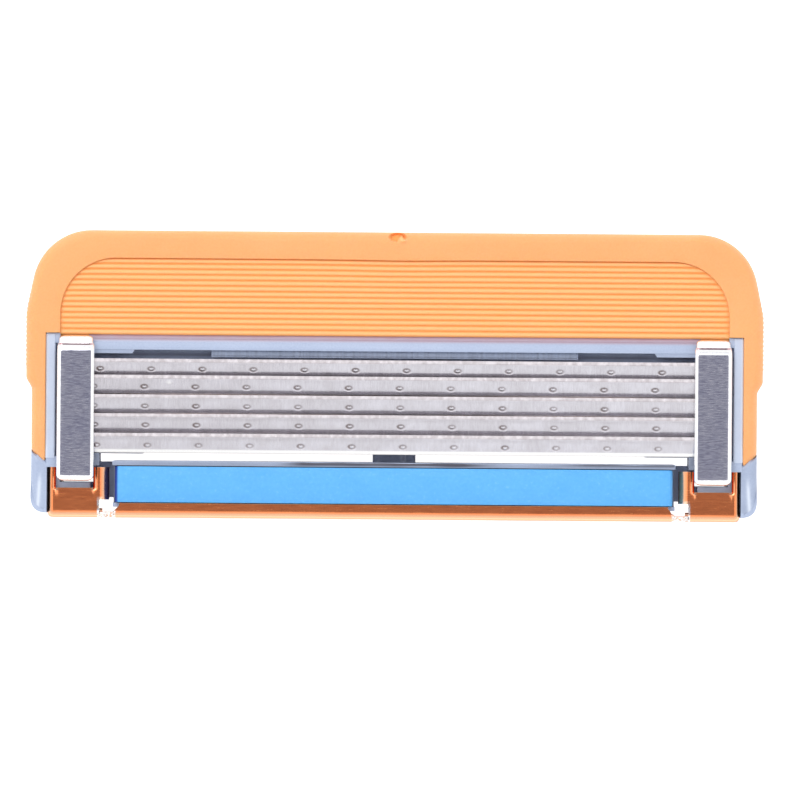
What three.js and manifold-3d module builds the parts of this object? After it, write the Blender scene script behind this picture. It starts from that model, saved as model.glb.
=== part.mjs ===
// A five-blade razor cartridge: a blade unit that pivots on its connecting member.
// Millimetres, +Z up. X runs along the blades, +Y points to the guard in front of them, and the
// shaving face looks up. The origin is on the resting face, under the middle of the part.

import * as THREE from 'three';
import { mergeVertices } from 'three/addons/utils/BufferGeometryUtils.js';
import Module from 'manifold-3d';

const wasm = await Module();
wasm.setup();

// Overall size
const HALF_WIDTH = 20.2;
const BULGE_HALF_WIDTH = 20.55; // the guard's finger bulges at the sides
const FRONT_Y = 8.0;
const REAR_Y = -8.0;
const SHAVE_Z = 10.4; // plane of the blade edges
const FIT_GAP = 0.05; // between pieces that touch when assembled
const OVERLAP = 0.1; // how far joined shapes of one piece run into each other
const STAGGER = 0.05; // keeps the faces of joined shapes out of one plane
const ABOVE_Z = 11; // over the whole part, for cuts that go right up through it
const BELOW_Z = 5; // under the blade unit, for cuts that go right down through it

// Blades: a thin strip welded on a bent support, edge up and towards the guard
const BLADE_COUNT = 5;
const BLADE_PITCH = 1.05;
const FIRST_EDGE_Y = 0.92;
const BLADE_TILT = THREE.MathUtils.degToRad(21.5);
const STRIP_LENGTH = 1.0;
const STRIP_THICKNESS = 0.1;
const STRIP_BEVEL = 0.2;
const STRIP_HALF_WIDTH = 18.0;
const WELD_GAP = 0.02;
const SUPPORT_THICKNESS = 0.26;
const SUPPORT_SETBACK = 0.3; // platform behind the edge
const SUPPORT_PLATFORM_END = 1.0; // along the tilt, behind the edge
const SUPPORT_KNEE_DEPTH = 0.56; // where the back of the leg starts, under the edge
const SUPPORT_REAR = 1.02; // rear face of the upright leg behind the edge
const SUPPORT_DEPTH = 2.6; // foot of the leg under the edge
const SUPPORT_HALF_WIDTH = 18.45; // over the ears at the legs' feet
const SUPPORT_EAR_HEIGHT = 1.2;
const FOOT_Z = SHAVE_Z - SUPPORT_DEPTH;

// Spring fingers: cantilevers from the end walls that carry the feet of the supports
const FINGER_HALF_WIDTH = 0.275;
const FINGER_TIP_X = 14.0;
const FINGER_TIP_CHAMFER = 0.1;
const FINGER_TIP_THICKNESS = 0.4;
const FINGER_PAD_END_X = 14.7;
const FINGER_ROOT_DROP = 0.35; // top of the root under the tip
const FINGER_ROOT_THICKNESS = 0.65;
const FINGER_HAUNCH = 0.9; // length of the thick part at the root
const FINGER_HAUNCH_DEPTH = 0.8;

// Housing
const HOUSING_BOTTOM_Z = 6.2;
const WINDOW_HALF_WIDTH = 16.9; // between the end walls that guide the blades
const WALL_OUTER_X = 19.35;
const WALL_TOP_Z = 10.15;
const WALL_REAR_Y = -7.45;
const WALL_STEP_Y = -5.2; // behind this the wall is lower, under the trimmer's tabs
const WALL_STEP_Z = 9.6;
const BLADE_POCKET_X = 18.88; // room for the blade ends under the clips
const BLADE_POCKET_FRONT_Y = 1.15;
const BLADE_POCKET_REAR_Y = -4.6;
const BLADE_POCKET_FLOOR_Z = 9.1;
const CLIP_GROOVE_FRONT_Y = 1.7; // the pocket's outer side runs on beside the clip
const CLIP_GROOVE_X = 18.65;
const LEG_SLOT_X = 18.6; // slots in the walls that guide the ears of the supports
const LEG_SLOT_HALF_LENGTH = 0.2;
const LEG_SLOT_FLOOR_Z = 7.4;
const REAR_CORNER_X = 19.3; // outside the trimmer's tabs
const REAR_CORNER_Y = -7.75;
const REAR_CORNER_RADIUS = 0.9;
const REAR_CORNER_BOTTOM_Z = 6.6;
const REAR_CORNER_TOP_Z = 10.1;
const ARM_TIP_INNER_Y = -4.8; // where the guard's arms meet the rear corners
const ARM_TIP_OUTER_Y = -4.0;
const ARM_TIP_CONTROL_X = 20.1;
const ARM_TIP_GAP = 0.12;
const DECK_Z = 8.5; // underside of the plate that carries the guard
const DECK_THICKNESS = 0.7;
const DECK_REAR_Y = 1.5;
const DECK_FRONT_Y = 7.1;
const DECK_CORNER = 2.4;
const SKIRT_WALL = 0.65; // skirt round the edge of the deck, underneath
const SKIRT_BOTTOM_Z = 7.5;
const BAR_REAR_Y = 1.36; // front bar, just ahead of the first blade
const BAR_FRONT_Y = 2.3;
const BAR_BOTTOM_Z = 6.4;
const BAR_TOP_Z = 10.1;
const BAR_STEP_Z = 9.6; // under the guard's rear edge
const BAR_CREST_FRONT_Y = 2.06; // the bar's top stays clear of the guard
const BAR_END_REAR_Y = 1.15; // the bar is deeper near its ends
const BAR_END_INNER_X = 14.4;
const BAR_END_SLANT = 0.2;
const LEDGE_HALF_WIDTH = 10.2; // ledge between the bar and the first blade
const LEDGE_REAR_Y = 0.98;
const LEDGE_TOP_Z = 9.8;
const LOW_LEDGE_TOP_Z = 8.4;
const CAP_FRONT_Y = -4.83; // cap, behind the last blade
const CAP_REAR_Y = -7.4;
const CAP_REAR_TOP_Z = 9.6;
const CAP_LIP_REAR_Y = -5.2;
const CAP_LIP_BOTTOM_Z = 6.5;
const CAP_BOTTOM_Z = 7.3;
const CAP_END_WALL = 0.15; // beyond the ends of the lubricating strip
const CAP_ARM_FRONT_Y = -4.9; // arms that join the cap to the end walls, low down
const CAP_ARM_REAR_Y = -6.9;
const CAP_ARM_BOTTOM_Z = 6.7;
const CAP_ARM_TOP_Z = 8.1;
const SHOULDER_X = 16.4; // shoulders that close the rinse openings at their ends
const SHOULDER_FRONT_Y = -4.4;
const SHOULDER_REAR_Y = -5.1;
const SHOULDER_BOTTOM_Z = 8.0;
const CAP_RIB_PITCH = 4;
const CAP_RIB_SPAN = 12; // the outermost ribs stand at this X
const CAP_RIB_HALF_WIDTH = 0.25;
const CAP_RIB_REAR_Y = -7.3;
const STRUT_HALF_WIDTH = 1.2; // rib under the blades, pushed by the handle's plunger
const STRUT_TOP_Z = 7.3;
const STRUT_FRONT_Y = 1.4;
const STRUT_REAR_Y = -7.3;
const STRUT_BOTTOM_Z = 6.45;
const CAM_FRONT_Y = 0.4; // rounded cam below the strut
const CAM_REAR_Y = -3.6;
const CAM_CONTROL_Z = 5.45;

// Guard elastomer
const GUARD_BOTTOM_Z = 7.4;
const GUARD_TOP_Z = 10.35;
const GUARD_CORNER = 3.3;
const RIM_BEVEL = 0.7;
const FIELD_HALF_WIDTH = 18.6;
const FIELD_REAR_Y = 2.2;
const FIELD_FRONT_Y = 6.45;
const FIELD_CORNER = 3.1;
const FIELD_FLOOR_Z = 9.75;
const FIN_COUNT = 14;
const FIN_HEIGHT = 0.35;
const FIN_BASE = 0.1; // thickness of the fins' common base under the valleys

// Lubricating strip in the cap
const LUBE_HALF_WIDTH = 15.5;
const LUBE_FRONT_Y = -5.13;
const LUBE_REAR_Y = -7.12;
const LUBE_BOTTOM_Z = 8.65;
const LUBE_TOP_Z = 10.45;
const LUBE_CROWN = 0.15;

// Clips that hold the blades down
const CLIP_X = 17.705;
const CLIP_WIDTH = 2.08;
const CLIP_LEG_WIDTH = 1.6;
const CLIP_THICKNESS = 0.25;
const CLIP_FRONT_Y = 2.13;
const CLIP_REAR_Y = -5.96;
const CLIP_FOLD = 1.0; // length folded under the housing
const CLIP_CORNER = 0.3;
const CLIP_LEG_INSET = 0.02; // the legs' outer faces behind the plate's ends
const CLIP_FOLD_GAP = 0.03; // between the folded legs and the housing
const CLIP_HOLE_CLEARANCE = 0.1;
const CLIP_HOLES_Y = [[1.78, 2.35], [-6.05, -5.62]];

// Trimmer at the back: a sheet-metal carrier with its own blade
const SHEET = 0.28;
const CARRIER_HALF_WIDTH = 19.22;
const CARRIER_TOP_Z = 10.03;
const CARRIER_BOTTOM_Z = 5.92;
const BEND_RADIUS = 0.45;
const FLANGE_HALF_WIDTH = 15.6; // long top flange behind the strip
const FLANGE_FRONT_Y = -7.17;
const WALL_UPPER_Z = 9.4; // the rear wall is whole up to here
const TAB_INNER_X = 16.4;
const TAB_FRONT_Y = -5.2;
const TAB_SLOT_INNER_X = 16.72; // slot that the clip's rear end passes through
const TAB_SLOT_OUTER_X = 18.8;
const TAB_SLOT_REAR_Y = -6.43;
const TAB_SLOT_CORNER = 0.3;
const LIP_INNER_X = 15.85; // rolled lip along the inner side of each tab
const LIP_REAR_Y = -7.0;
const LIP_WALL_REAR_Y = -6.8;
const LIP_BOTTOM_Z = 8.3;
const LOWER_TAB_FRONT_Y = -5.4;
const LOWER_FLANGE_FRONT_Y = -5.6;
const LOWER_FLANGE_HALF_WIDTH = 15.0;
const TRIM_WINDOW_HALF_WIDTH = 12.6;
const TRIM_WINDOW_BOTTOM_Z = 6.6;
const TRIM_WINDOW_TOP_Z = 7.5;
const COMB_PITCH = 1.8;
const COMB_SLOT_HALF_WIDTH = 0.45;
const COMB_SLOT_FRONT_Y = -6.9;
const TRIM_BLADE_HALF_WIDTH = 13.4;
const TRIM_BLADE_THICKNESS = 0.1;
const TRIM_BLADE_EDGE_Z = 6.95;
const TRIM_BLADE_TOP_Z = 9.1;
const TRIM_BLADE_BEVEL = 0.2;

// Connecting member and its hinge under the guard
const PIVOT_Y = 3.9;
const PIVOT_Z = 6.9;
const PIN_RADIUS = 0.55;
const PIN_CLEARANCE = 0.1;
const ARM_X = 10.0;
const ARM_WIDTH = 1.2;
const ARM_RADIUS = 1.2;
const ARM_FOOT = [2.7, 2.6]; // lower front corner of the arm's root, in Y and Z
const ARM_HEAD_START = 0.62; // how far below level the rounded head starts, in radians
const ARM_HEAD_END = 0.5;
const EAR_RADIUS = 1.3;
const EAR_WIDTH = 0.5;
const EAR_GAP = 0.15;
const SOCKET_HALF_WIDTH = 6.6;
const SOCKET_HEIGHT = 5.6;
const SOCKET_FRONT_Y = 2.4;
const SOCKET_REAR_Y = -3.4;
const SOCKET_SIDE_WALL = 1.0;
const SOCKET_FLOOR = 0.6;
const SOCKET_ROOF = 0.7;
const SOCKET_FRONT_WALL = 0.8;
const SOCKET_CORNER = 0.8;
const LATCH_Y = [-1.9, -0.5]; // windows in the side walls that the handle's catches snap into
const LATCH_Z = [1.7, 3.9];
const PLUNGER_HALF_WIDTH = 1.9; // window in the roof for the handle's plunger
const PLUNGER_Y = [-2.7, 0.9];
const PLUNGER_CORNER = 0.5;
const CROSS_BAR_REAR_Y = 0.6;
const CROSS_BAR_Z = [2.2, 4.2];

// Materials
const housingPlastic = new THREE.MeshStandardMaterial({ color: 0x8f9cb8, roughness: 0.55, metalness: 0 });
const guardRubber = new THREE.MeshStandardMaterial({ color: 0xf79a3e, roughness: 0.6, metalness: 0 });
const bladeSteel = new THREE.MeshStandardMaterial({ color: 0xc2c3cc, roughness: 0.3, metalness: 1 });
const supportSteel = new THREE.MeshStandardMaterial({ color: 0x8d8e96, roughness: 0.4, metalness: 1 });
const clipAluminium = new THREE.MeshStandardMaterial({ color: 0xb4b6c0, roughness: 0.35, metalness: 1 });
const lubricant = new THREE.MeshStandardMaterial({ color: 0x4d9fe6, roughness: 0.7, metalness: 0 });
const trimmerCopper = new THREE.MeshStandardMaterial({ color: 0xb0622f, roughness: 0.3, metalness: 1 });
const memberPlastic = new THREE.MeshStandardMaterial({ color: 0x4a5468, roughness: 0.5, metalness: 0 });

// ---- Shape helpers ----

function toSolid(geometry) {
  const bare = geometry.clone();
  bare.deleteAttribute('normal');
  bare.deleteAttribute('uv');
  const merged = mergeVertices(bare);
  const vertProperties = new Float32Array(merged.getAttribute('position').array);
  const triVerts = new Uint32Array(merged.getIndex().array);
  return new wasm.Manifold(new wasm.Mesh({ numProp: 3, vertProperties, triVerts }));
}

function toGeometry(solid) {
  const mesh = solid.getMesh();
  const geometry = new THREE.BufferGeometry();
  geometry.setAttribute('position', new THREE.BufferAttribute(mesh.vertProperties, 3));
  geometry.setIndex(new THREE.BufferAttribute(mesh.triVerts, 1));
  geometry.computeVertexNormals();
  return geometry;
}

// The geometries joined, with every one of cuts taken away.
function combine(joined, cuts = []) {
  const solid = joined.map(toSolid).reduce((sum, next) => sum.add(next));
  return toGeometry(cuts.map(toSolid).reduce((rest, cut) => rest.subtract(cut), solid));
}

function block(x0, x1, y0, y1, z0, z1) {
  const size = [Math.abs(x1 - x0), Math.abs(y1 - y0), Math.abs(z1 - z0)];
  const box = new THREE.BoxGeometry(...size);
  return box.translate((x0 + x1) / 2, (y0 + y1) / 2, (z0 + z1) / 2);
}

function shapeOf(points) {
  return new THREE.Shape(points.map(([u, v]) => new THREE.Vector2(u, v)));
}

// A plate of the given outline in X and Y.
function plate(shape, z0, z1, curveSegments = 10) {
  const options = { depth: z1 - z0, bevelEnabled: false, curveSegments };
  return new THREE.ExtrudeGeometry(shape, options).translate(0, 0, z0);
}

// A bar with the given section in Y and Z, running along X.
function barAlongX(shape, x0, x1, curveSegments = 10) {
  const turn = new THREE.Matrix4().makeBasis(
    new THREE.Vector3(0, 1, 0), new THREE.Vector3(0, 0, 1), new THREE.Vector3(1, 0, 0));
  const options = { depth: x1 - x0, bevelEnabled: false, curveSegments };
  return new THREE.ExtrudeGeometry(shape, options).applyMatrix4(turn).translate(x0, 0, 0);
}

// A bar with the given section in X and Z, running along Y.
function barAlongY(shape, y0, y1) {
  const turn = new THREE.Matrix4().makeBasis(
    new THREE.Vector3(1, 0, 0), new THREE.Vector3(0, 0, 1), new THREE.Vector3(0, -1, 0));
  const options = { depth: y1 - y0, bevelEnabled: false };
  return new THREE.ExtrudeGeometry(shape, options).applyMatrix4(turn).translate(0, y1, 0);
}

function rodAlongX(radius, x0, x1, y, z) {
  const rod = new THREE.CylinderGeometry(radius, radius, x1 - x0, 32);
  return rod.rotateZ(Math.PI / 2).translate((x0 + x1) / 2, y, z);
}

// A rectangle whose corners are all rounded.
function roundedRectangle(x0, x1, y0, y1, radius) {
  const shape = new THREE.Shape();
  shape.moveTo(x1, y1 - radius);
  shape.absarc(x1 - radius, y1 - radius, radius, 0, Math.PI / 2);
  shape.absarc(x0 + radius, y1 - radius, radius, Math.PI / 2, Math.PI);
  shape.absarc(x0 + radius, y0 + radius, radius, Math.PI, 1.5 * Math.PI);
  shape.absarc(x1 - radius, y0 + radius, radius, 1.5 * Math.PI, 2 * Math.PI);
  return shape;
}

function edgeY(index) {
  return FIRST_EDGE_Y - index * BLADE_PITCH;
}

// Middle of the upright leg under a blade.
function legY(index) {
  return edgeY(index) - SUPPORT_REAR + SUPPORT_THICKNESS / 2;
}

// ---- Blades ----

// The strip's own frame has the cutting edge at its origin; the strip lies behind it along -Y.
function bladeStripGeometry() {
  const half = STRIP_THICKNESS / 2;
  const section = shapeOf([
    [0, 0],
    [-STRIP_BEVEL, half],
    [-STRIP_LENGTH, half],
    [-STRIP_LENGTH, -half],
    [-STRIP_BEVEL, -half],
  ]);
  return barAlongX(section, -STRIP_HALF_WIDTH, STRIP_HALF_WIDTH);
}

// The support's frame also has the edge at its origin, with the leg upright.
function bladeSupportGeometry() {
  const sin = Math.sin(BLADE_TILT);
  const cos = Math.cos(BLADE_TILT);
  // A point of the tilted platform: how far behind the edge, and how far under the strip's middle.
  const onPlatform = (behind, under) => [-behind * cos + under * sin, -behind * sin - under * cos];
  const top = STRIP_THICKNESS / 2 + WELD_GAP;
  const bottom = top + SUPPORT_THICKNESS;
  const legFront = SUPPORT_REAR - SUPPORT_THICKNESS;
  const innerCorner = (legFront + bottom * sin) / cos;
  const section = shapeOf([
    onPlatform(SUPPORT_SETBACK, top),
    onPlatform(SUPPORT_PLATFORM_END, top),
    [-SUPPORT_REAR, -SUPPORT_KNEE_DEPTH],
    [-SUPPORT_REAR, -SUPPORT_DEPTH],
    [-legFront, -SUPPORT_DEPTH],
    onPlatform(innerCorner, bottom),
    onPlatform(SUPPORT_SETBACK, bottom),
  ]);
  const platform = barAlongX(section, -STRIP_HALF_WIDTH, STRIP_HALF_WIDTH);
  const legEars = block(-SUPPORT_HALF_WIDTH, SUPPORT_HALF_WIDTH,
    -SUPPORT_REAR, -legFront, -SUPPORT_DEPTH, -SUPPORT_DEPTH + SUPPORT_EAR_HEIGHT);
  return combine([platform, legEars]);
}

// A cantilever moulded on the end wall: its tip carries the foot of a blade's leg.
function springFingerGeometry(side) {
  const root = WINDOW_HALF_WIDTH - FIT_GAP;
  const tipZ = FOOT_Z - FIT_GAP;
  const section = shapeOf([
    [side * root, tipZ - FINGER_ROOT_DROP - FINGER_ROOT_THICKNESS],
    [side * root, tipZ - FINGER_ROOT_DROP],
    [side * FINGER_PAD_END_X, tipZ],
    [side * (FINGER_TIP_X + FINGER_TIP_CHAMFER), tipZ],
    [side * FINGER_TIP_X, tipZ - FINGER_TIP_THICKNESS],
    [side * (root - FINGER_HAUNCH), tipZ - FINGER_HAUNCH_DEPTH],
  ]);
  return barAlongY(section, -FINGER_HALF_WIDTH, FINGER_HALF_WIDTH);
}

// ---- Housing ----

function deckShape(inset) {
  const x = WALL_OUTER_X - inset;
  const y = DECK_FRONT_Y - inset;
  const radius = DECK_CORNER - inset;
  const shape = new THREE.Shape();
  shape.moveTo(-x, DECK_REAR_Y);
  shape.lineTo(x, DECK_REAR_Y);
  shape.lineTo(x, y - radius);
  shape.absarc(x - radius, y - radius, radius, 0, Math.PI / 2);
  shape.lineTo(-x + radius, y);
  shape.absarc(-x + radius, y - radius, radius, Math.PI / 2, Math.PI);
  return shape;
}

// One end wall, with the rear corner outside the trimmer's tabs.
function endWall(side) {
  const corner = new THREE.Shape();
  const frontY = ARM_TIP_INNER_Y - ARM_TIP_GAP;
  const outerFrontY = ARM_TIP_OUTER_Y - 2 * ARM_TIP_GAP;
  corner.moveTo(side * REAR_CORNER_X, frontY);
  corner.lineTo(side * (WALL_OUTER_X + FIT_GAP), frontY);
  corner.quadraticCurveTo(
    side * (ARM_TIP_CONTROL_X + STAGGER), ARM_TIP_INNER_Y, side * HALF_WIDTH, outerFrontY);
  corner.lineTo(side * HALF_WIDTH, REAR_CORNER_Y + REAR_CORNER_RADIUS);
  corner.quadraticCurveTo(
    side * HALF_WIDTH, REAR_CORNER_Y, side * (HALF_WIDTH - REAR_CORNER_RADIUS), REAR_CORNER_Y);
  corner.lineTo(side * REAR_CORNER_X, REAR_CORNER_Y);
  const section = shapeOf([
    [WALL_REAR_Y, HOUSING_BOTTOM_Z],
    [BAR_FRONT_Y - STAGGER, HOUSING_BOTTOM_Z],
    [BAR_FRONT_Y - STAGGER, WALL_TOP_Z],
    [WALL_STEP_Y, WALL_TOP_Z],
    [WALL_STEP_Y, WALL_STEP_Z],
    [WALL_REAR_Y, WALL_STEP_Z],
  ]);
  const x0 = side > 0 ? WINDOW_HALF_WIDTH : -WALL_OUTER_X;
  return [
    barAlongX(section, x0, x0 + WALL_OUTER_X - WINDOW_HALF_WIDTH),
    plate(corner, REAR_CORNER_BOTTOM_Z, REAR_CORNER_TOP_Z),
  ];
}

// What is taken out of one end wall: room for the blade ends, leg slots and the clip's holes.
function endWallCuts(side) {
  const inner = side * (WINDOW_HALF_WIDTH - OVERLAP);
  const cuts = [block(inner, side * BLADE_POCKET_X,
    BLADE_POCKET_REAR_Y, BLADE_POCKET_FRONT_Y, BLADE_POCKET_FLOOR_Z, ABOVE_Z)];
  cuts.push(block(side * CLIP_GROOVE_X, side * BLADE_POCKET_X,
    BLADE_POCKET_FRONT_Y - OVERLAP, CLIP_GROOVE_FRONT_Y, BLADE_POCKET_FLOOR_Z, ABOVE_Z));
  for (let i = 0; i < BLADE_COUNT; i += 1) {
    const middle = legY(i);
    cuts.push(block(inner, side * LEG_SLOT_X,
      middle - LEG_SLOT_HALF_LENGTH, middle + LEG_SLOT_HALF_LENGTH, LEG_SLOT_FLOOR_Z, ABOVE_Z));
  }
  const holeHalf = CLIP_LEG_WIDTH / 2 + CLIP_HOLE_CLEARANCE;
  for (const [y0, y1] of CLIP_HOLES_Y) {
    cuts.push(block(side * (CLIP_X - holeHalf), side * (CLIP_X + holeHalf), y0, y1, BELOW_Z, ABOVE_Z));
  }
  return cuts;
}

function frontBar() {
  const endX = WINDOW_HALF_WIDTH + OVERLAP;
  const lowEndX = endX - STAGGER;
  const section = shapeOf([
    [BAR_REAR_Y, BAR_BOTTOM_Z],
    [BAR_FRONT_Y, BAR_BOTTOM_Z],
    [BAR_FRONT_Y, BAR_STEP_Z],
    [BAR_CREST_FRONT_Y, BAR_STEP_Z],
    [BAR_CREST_FRONT_Y, BAR_TOP_Z],
    [BAR_REAR_Y, BAR_TOP_Z],
  ]);
  const parts = [
    barAlongX(section, -endX, endX),
    block(-LEDGE_HALF_WIDTH, LEDGE_HALF_WIDTH,
      LEDGE_REAR_Y, BAR_REAR_Y + OVERLAP, BAR_BOTTOM_Z + 2 * STAGGER, LEDGE_TOP_Z),
    block(-lowEndX, lowEndX,
      LEDGE_REAR_Y + STAGGER, BAR_REAR_Y + OVERLAP + STAGGER, BAR_BOTTOM_Z + 3 * STAGGER, LOW_LEDGE_TOP_Z),
  ];
  for (const side of [-1, 1]) {
    const step = shapeOf([
      [side * BAR_END_INNER_X, BAR_REAR_Y + OVERLAP],
      [side * (BAR_END_INNER_X + BAR_END_SLANT), BAR_END_REAR_Y],
      [side * endX, BAR_END_REAR_Y],
      [side * endX, BAR_REAR_Y + OVERLAP],
    ]);
    parts.push(plate(step, BAR_BOTTOM_Z + STAGGER, BAR_TOP_Z - STAGGER));
  }
  return parts;
}

// The cap holds the lubricating strip in a trough and closes the back of the blade window.
function cap() {
  const end = LUBE_HALF_WIDTH + CAP_END_WALL;
  const wallX = WINDOW_HALF_WIDTH + OVERLAP;
  const floorZ = LUBE_BOTTOM_Z - FIT_GAP;
  const lipRearY = LUBE_FRONT_Y + FIT_GAP;
  const troughRearY = LUBE_REAR_Y - FIT_GAP;
  const trough = shapeOf([
    [CAP_FRONT_Y, CAP_LIP_BOTTOM_Z],
    [CAP_FRONT_Y, WALL_TOP_Z],
    [lipRearY, WALL_TOP_Z],
    [lipRearY, floorZ],
    [troughRearY, floorZ],
    [troughRearY, CAP_REAR_TOP_Z],
    [CAP_REAR_Y, CAP_REAR_TOP_Z],
    [CAP_REAR_Y, CAP_BOTTOM_Z],
    [CAP_LIP_REAR_Y, CAP_BOTTOM_Z],
    [CAP_LIP_REAR_Y, CAP_LIP_BOTTOM_Z],
  ]);
  const parts = [barAlongX(trough, -end, end)];
  for (const side of [-1, 1]) {
    parts.push(block(side * (end - OVERLAP), side * wallX,
      CAP_ARM_FRONT_Y, CAP_ARM_REAR_Y, CAP_ARM_BOTTOM_Z, CAP_ARM_TOP_Z));
    parts.push(block(side * SHOULDER_X, side * (wallX + STAGGER),
      SHOULDER_FRONT_Y, SHOULDER_REAR_Y, SHOULDER_BOTTOM_Z, WALL_TOP_Z - 2 * STAGGER));
  }
  for (let x = -CAP_RIB_SPAN; x <= CAP_RIB_SPAN; x += CAP_RIB_PITCH) {
    parts.push(block(x - CAP_RIB_HALF_WIDTH, x + CAP_RIB_HALF_WIDTH,
      CAP_LIP_REAR_Y + 4 * STAGGER, CAP_RIB_REAR_Y, CAP_LIP_BOTTOM_Z + 2 * STAGGER, CAP_BOTTOM_Z + OVERLAP));
  }
  return parts;
}

// The rib from the front bar to the cap, with a rounded cam below it.
function strut() {
  const cam = new THREE.Shape();
  const underCapY = CAP_FRONT_Y - OVERLAP;
  cam.moveTo(STRUT_FRONT_Y, STRUT_BOTTOM_Z);
  cam.lineTo(CAM_FRONT_Y, STRUT_BOTTOM_Z);
  cam.quadraticCurveTo((CAM_FRONT_Y + CAM_REAR_Y) / 2, CAM_CONTROL_Z, CAM_REAR_Y, STRUT_BOTTOM_Z);
  cam.lineTo(STRUT_REAR_Y, STRUT_BOTTOM_Z);
  cam.lineTo(STRUT_REAR_Y, STRUT_TOP_Z + OVERLAP);
  cam.lineTo(underCapY, STRUT_TOP_Z + OVERLAP);
  cam.lineTo(underCapY, STRUT_TOP_Z);
  cam.lineTo(STRUT_FRONT_Y, STRUT_TOP_Z);
  return barAlongX(cam, -STRUT_HALF_WIDTH, STRUT_HALF_WIDTH);
}

// The ears stand on both sides of each arm of the connecting member.
function bearingEars() {
  const ears = [];
  const shape = new THREE.Shape();
  shape.moveTo(PIVOT_Y - EAR_RADIUS, DECK_Z + OVERLAP);
  shape.absarc(PIVOT_Y, PIVOT_Z, EAR_RADIUS, Math.PI, 2 * Math.PI);
  shape.lineTo(PIVOT_Y + EAR_RADIUS, DECK_Z + OVERLAP);
  const reach = ARM_WIDTH / 2 + EAR_GAP;
  for (const side of [-1, 1]) {
    for (const inner of [ARM_X - reach - EAR_WIDTH, ARM_X + reach]) {
      const x0 = side > 0 ? inner : -inner - EAR_WIDTH;
      ears.push(barAlongX(shape, x0, x0 + EAR_WIDTH));
    }
  }
  return ears;
}

function housingGeometry() {
  const skirt = combine(
    [plate(deckShape(STAGGER), SKIRT_BOTTOM_Z, DECK_Z + OVERLAP)],
    [plate(deckShape(STAGGER + SKIRT_WALL), SKIRT_BOTTOM_Z - OVERLAP, DECK_Z + 2 * OVERLAP)]);
  const holeHalf = ARM_WIDTH / 2 + EAR_GAP + EAR_WIDTH + OVERLAP;
  const bearingHoles = [-1, 1].map((side) => rodAlongX(
    PIN_RADIUS + PIN_CLEARANCE, side * ARM_X - holeHalf, side * ARM_X + holeHalf, PIVOT_Y, PIVOT_Z));
  const parts = [
    plate(deckShape(0), DECK_Z, DECK_Z + DECK_THICKNESS),
    skirt,
    ...frontBar(),
    ...cap(),
    strut(),
    ...bearingEars(),
    ...endWall(-1),
    ...endWall(1),
  ];
  return combine(parts, [...endWallCuts(-1), ...endWallCuts(1), ...bearingHoles]);
}

// ---- Guard ----

// The outline from the tip of one side arm, round the front, to the tip of the other.
function guardShape() {
  const shape = new THREE.Shape();
  const innerX = WALL_OUTER_X;
  const cornerX = HALF_WIDTH - GUARD_CORNER;
  const cornerY = FRONT_Y - GUARD_CORNER;
  shape.moveTo(innerX, ARM_TIP_INNER_Y);
  shape.quadraticCurveTo(ARM_TIP_CONTROL_X, ARM_TIP_INNER_Y + 0.1, HALF_WIDTH, ARM_TIP_OUTER_Y);
  shape.lineTo(HALF_WIDTH, -0.9);
  shape.quadraticCurveTo(BULGE_HALF_WIDTH, -0.6, BULGE_HALF_WIDTH, -0.1);
  shape.lineTo(BULGE_HALF_WIDTH, 3.2);
  shape.quadraticCurveTo(BULGE_HALF_WIDTH - 0.1, 4.1, HALF_WIDTH, cornerY);
  shape.absarc(cornerX, cornerY, GUARD_CORNER, 0, Math.PI / 2);
  shape.absarc(-cornerX, cornerY, GUARD_CORNER, Math.PI / 2, Math.PI);
  shape.quadraticCurveTo(-BULGE_HALF_WIDTH + 0.1, 4.1, -BULGE_HALF_WIDTH, 3.2);
  shape.lineTo(-BULGE_HALF_WIDTH, -0.1);
  shape.quadraticCurveTo(-BULGE_HALF_WIDTH, -0.6, -HALF_WIDTH, -0.9);
  shape.lineTo(-HALF_WIDTH, ARM_TIP_OUTER_Y);
  shape.quadraticCurveTo(-ARM_TIP_CONTROL_X, ARM_TIP_INNER_Y + 0.1, -innerX, ARM_TIP_INNER_Y);
  return shape;
}

function fieldShape(growth) {
  const x = FIELD_HALF_WIDTH - FIELD_CORNER;
  const centre = FIELD_FRONT_Y - FIELD_CORNER;
  const radius = FIELD_CORNER + growth;
  const shape = new THREE.Shape();
  shape.moveTo(-x - radius, FIELD_REAR_Y - 1);
  shape.lineTo(x + radius, FIELD_REAR_Y - 1);
  shape.absarc(x, centre, radius, 0, Math.PI / 2);
  shape.absarc(-x, centre, radius, Math.PI / 2, Math.PI);
  return shape;
}

// Saw-tooth section of the fins that run along X.
function finSection() {
  const pitch = (FIELD_FRONT_Y - FIELD_REAR_Y) / FIN_COUNT;
  const valleyZ = FIELD_FLOOR_Z + STAGGER;
  const lastY = FIELD_FRONT_Y + STAGGER;
  const points = [[FIELD_REAR_Y, FIELD_FLOOR_Z - FIN_BASE]];
  for (let i = 0; i < FIN_COUNT; i += 1) {
    points.push([FIELD_REAR_Y + i * pitch, valleyZ]);
    points.push([FIELD_REAR_Y + (i + 0.5) * pitch, valleyZ + FIN_HEIGHT]);
  }
  points.push([lastY, valleyZ]);
  points.push([lastY, FIELD_FLOOR_Z - FIN_BASE]);
  return shapeOf(points);
}

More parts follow.
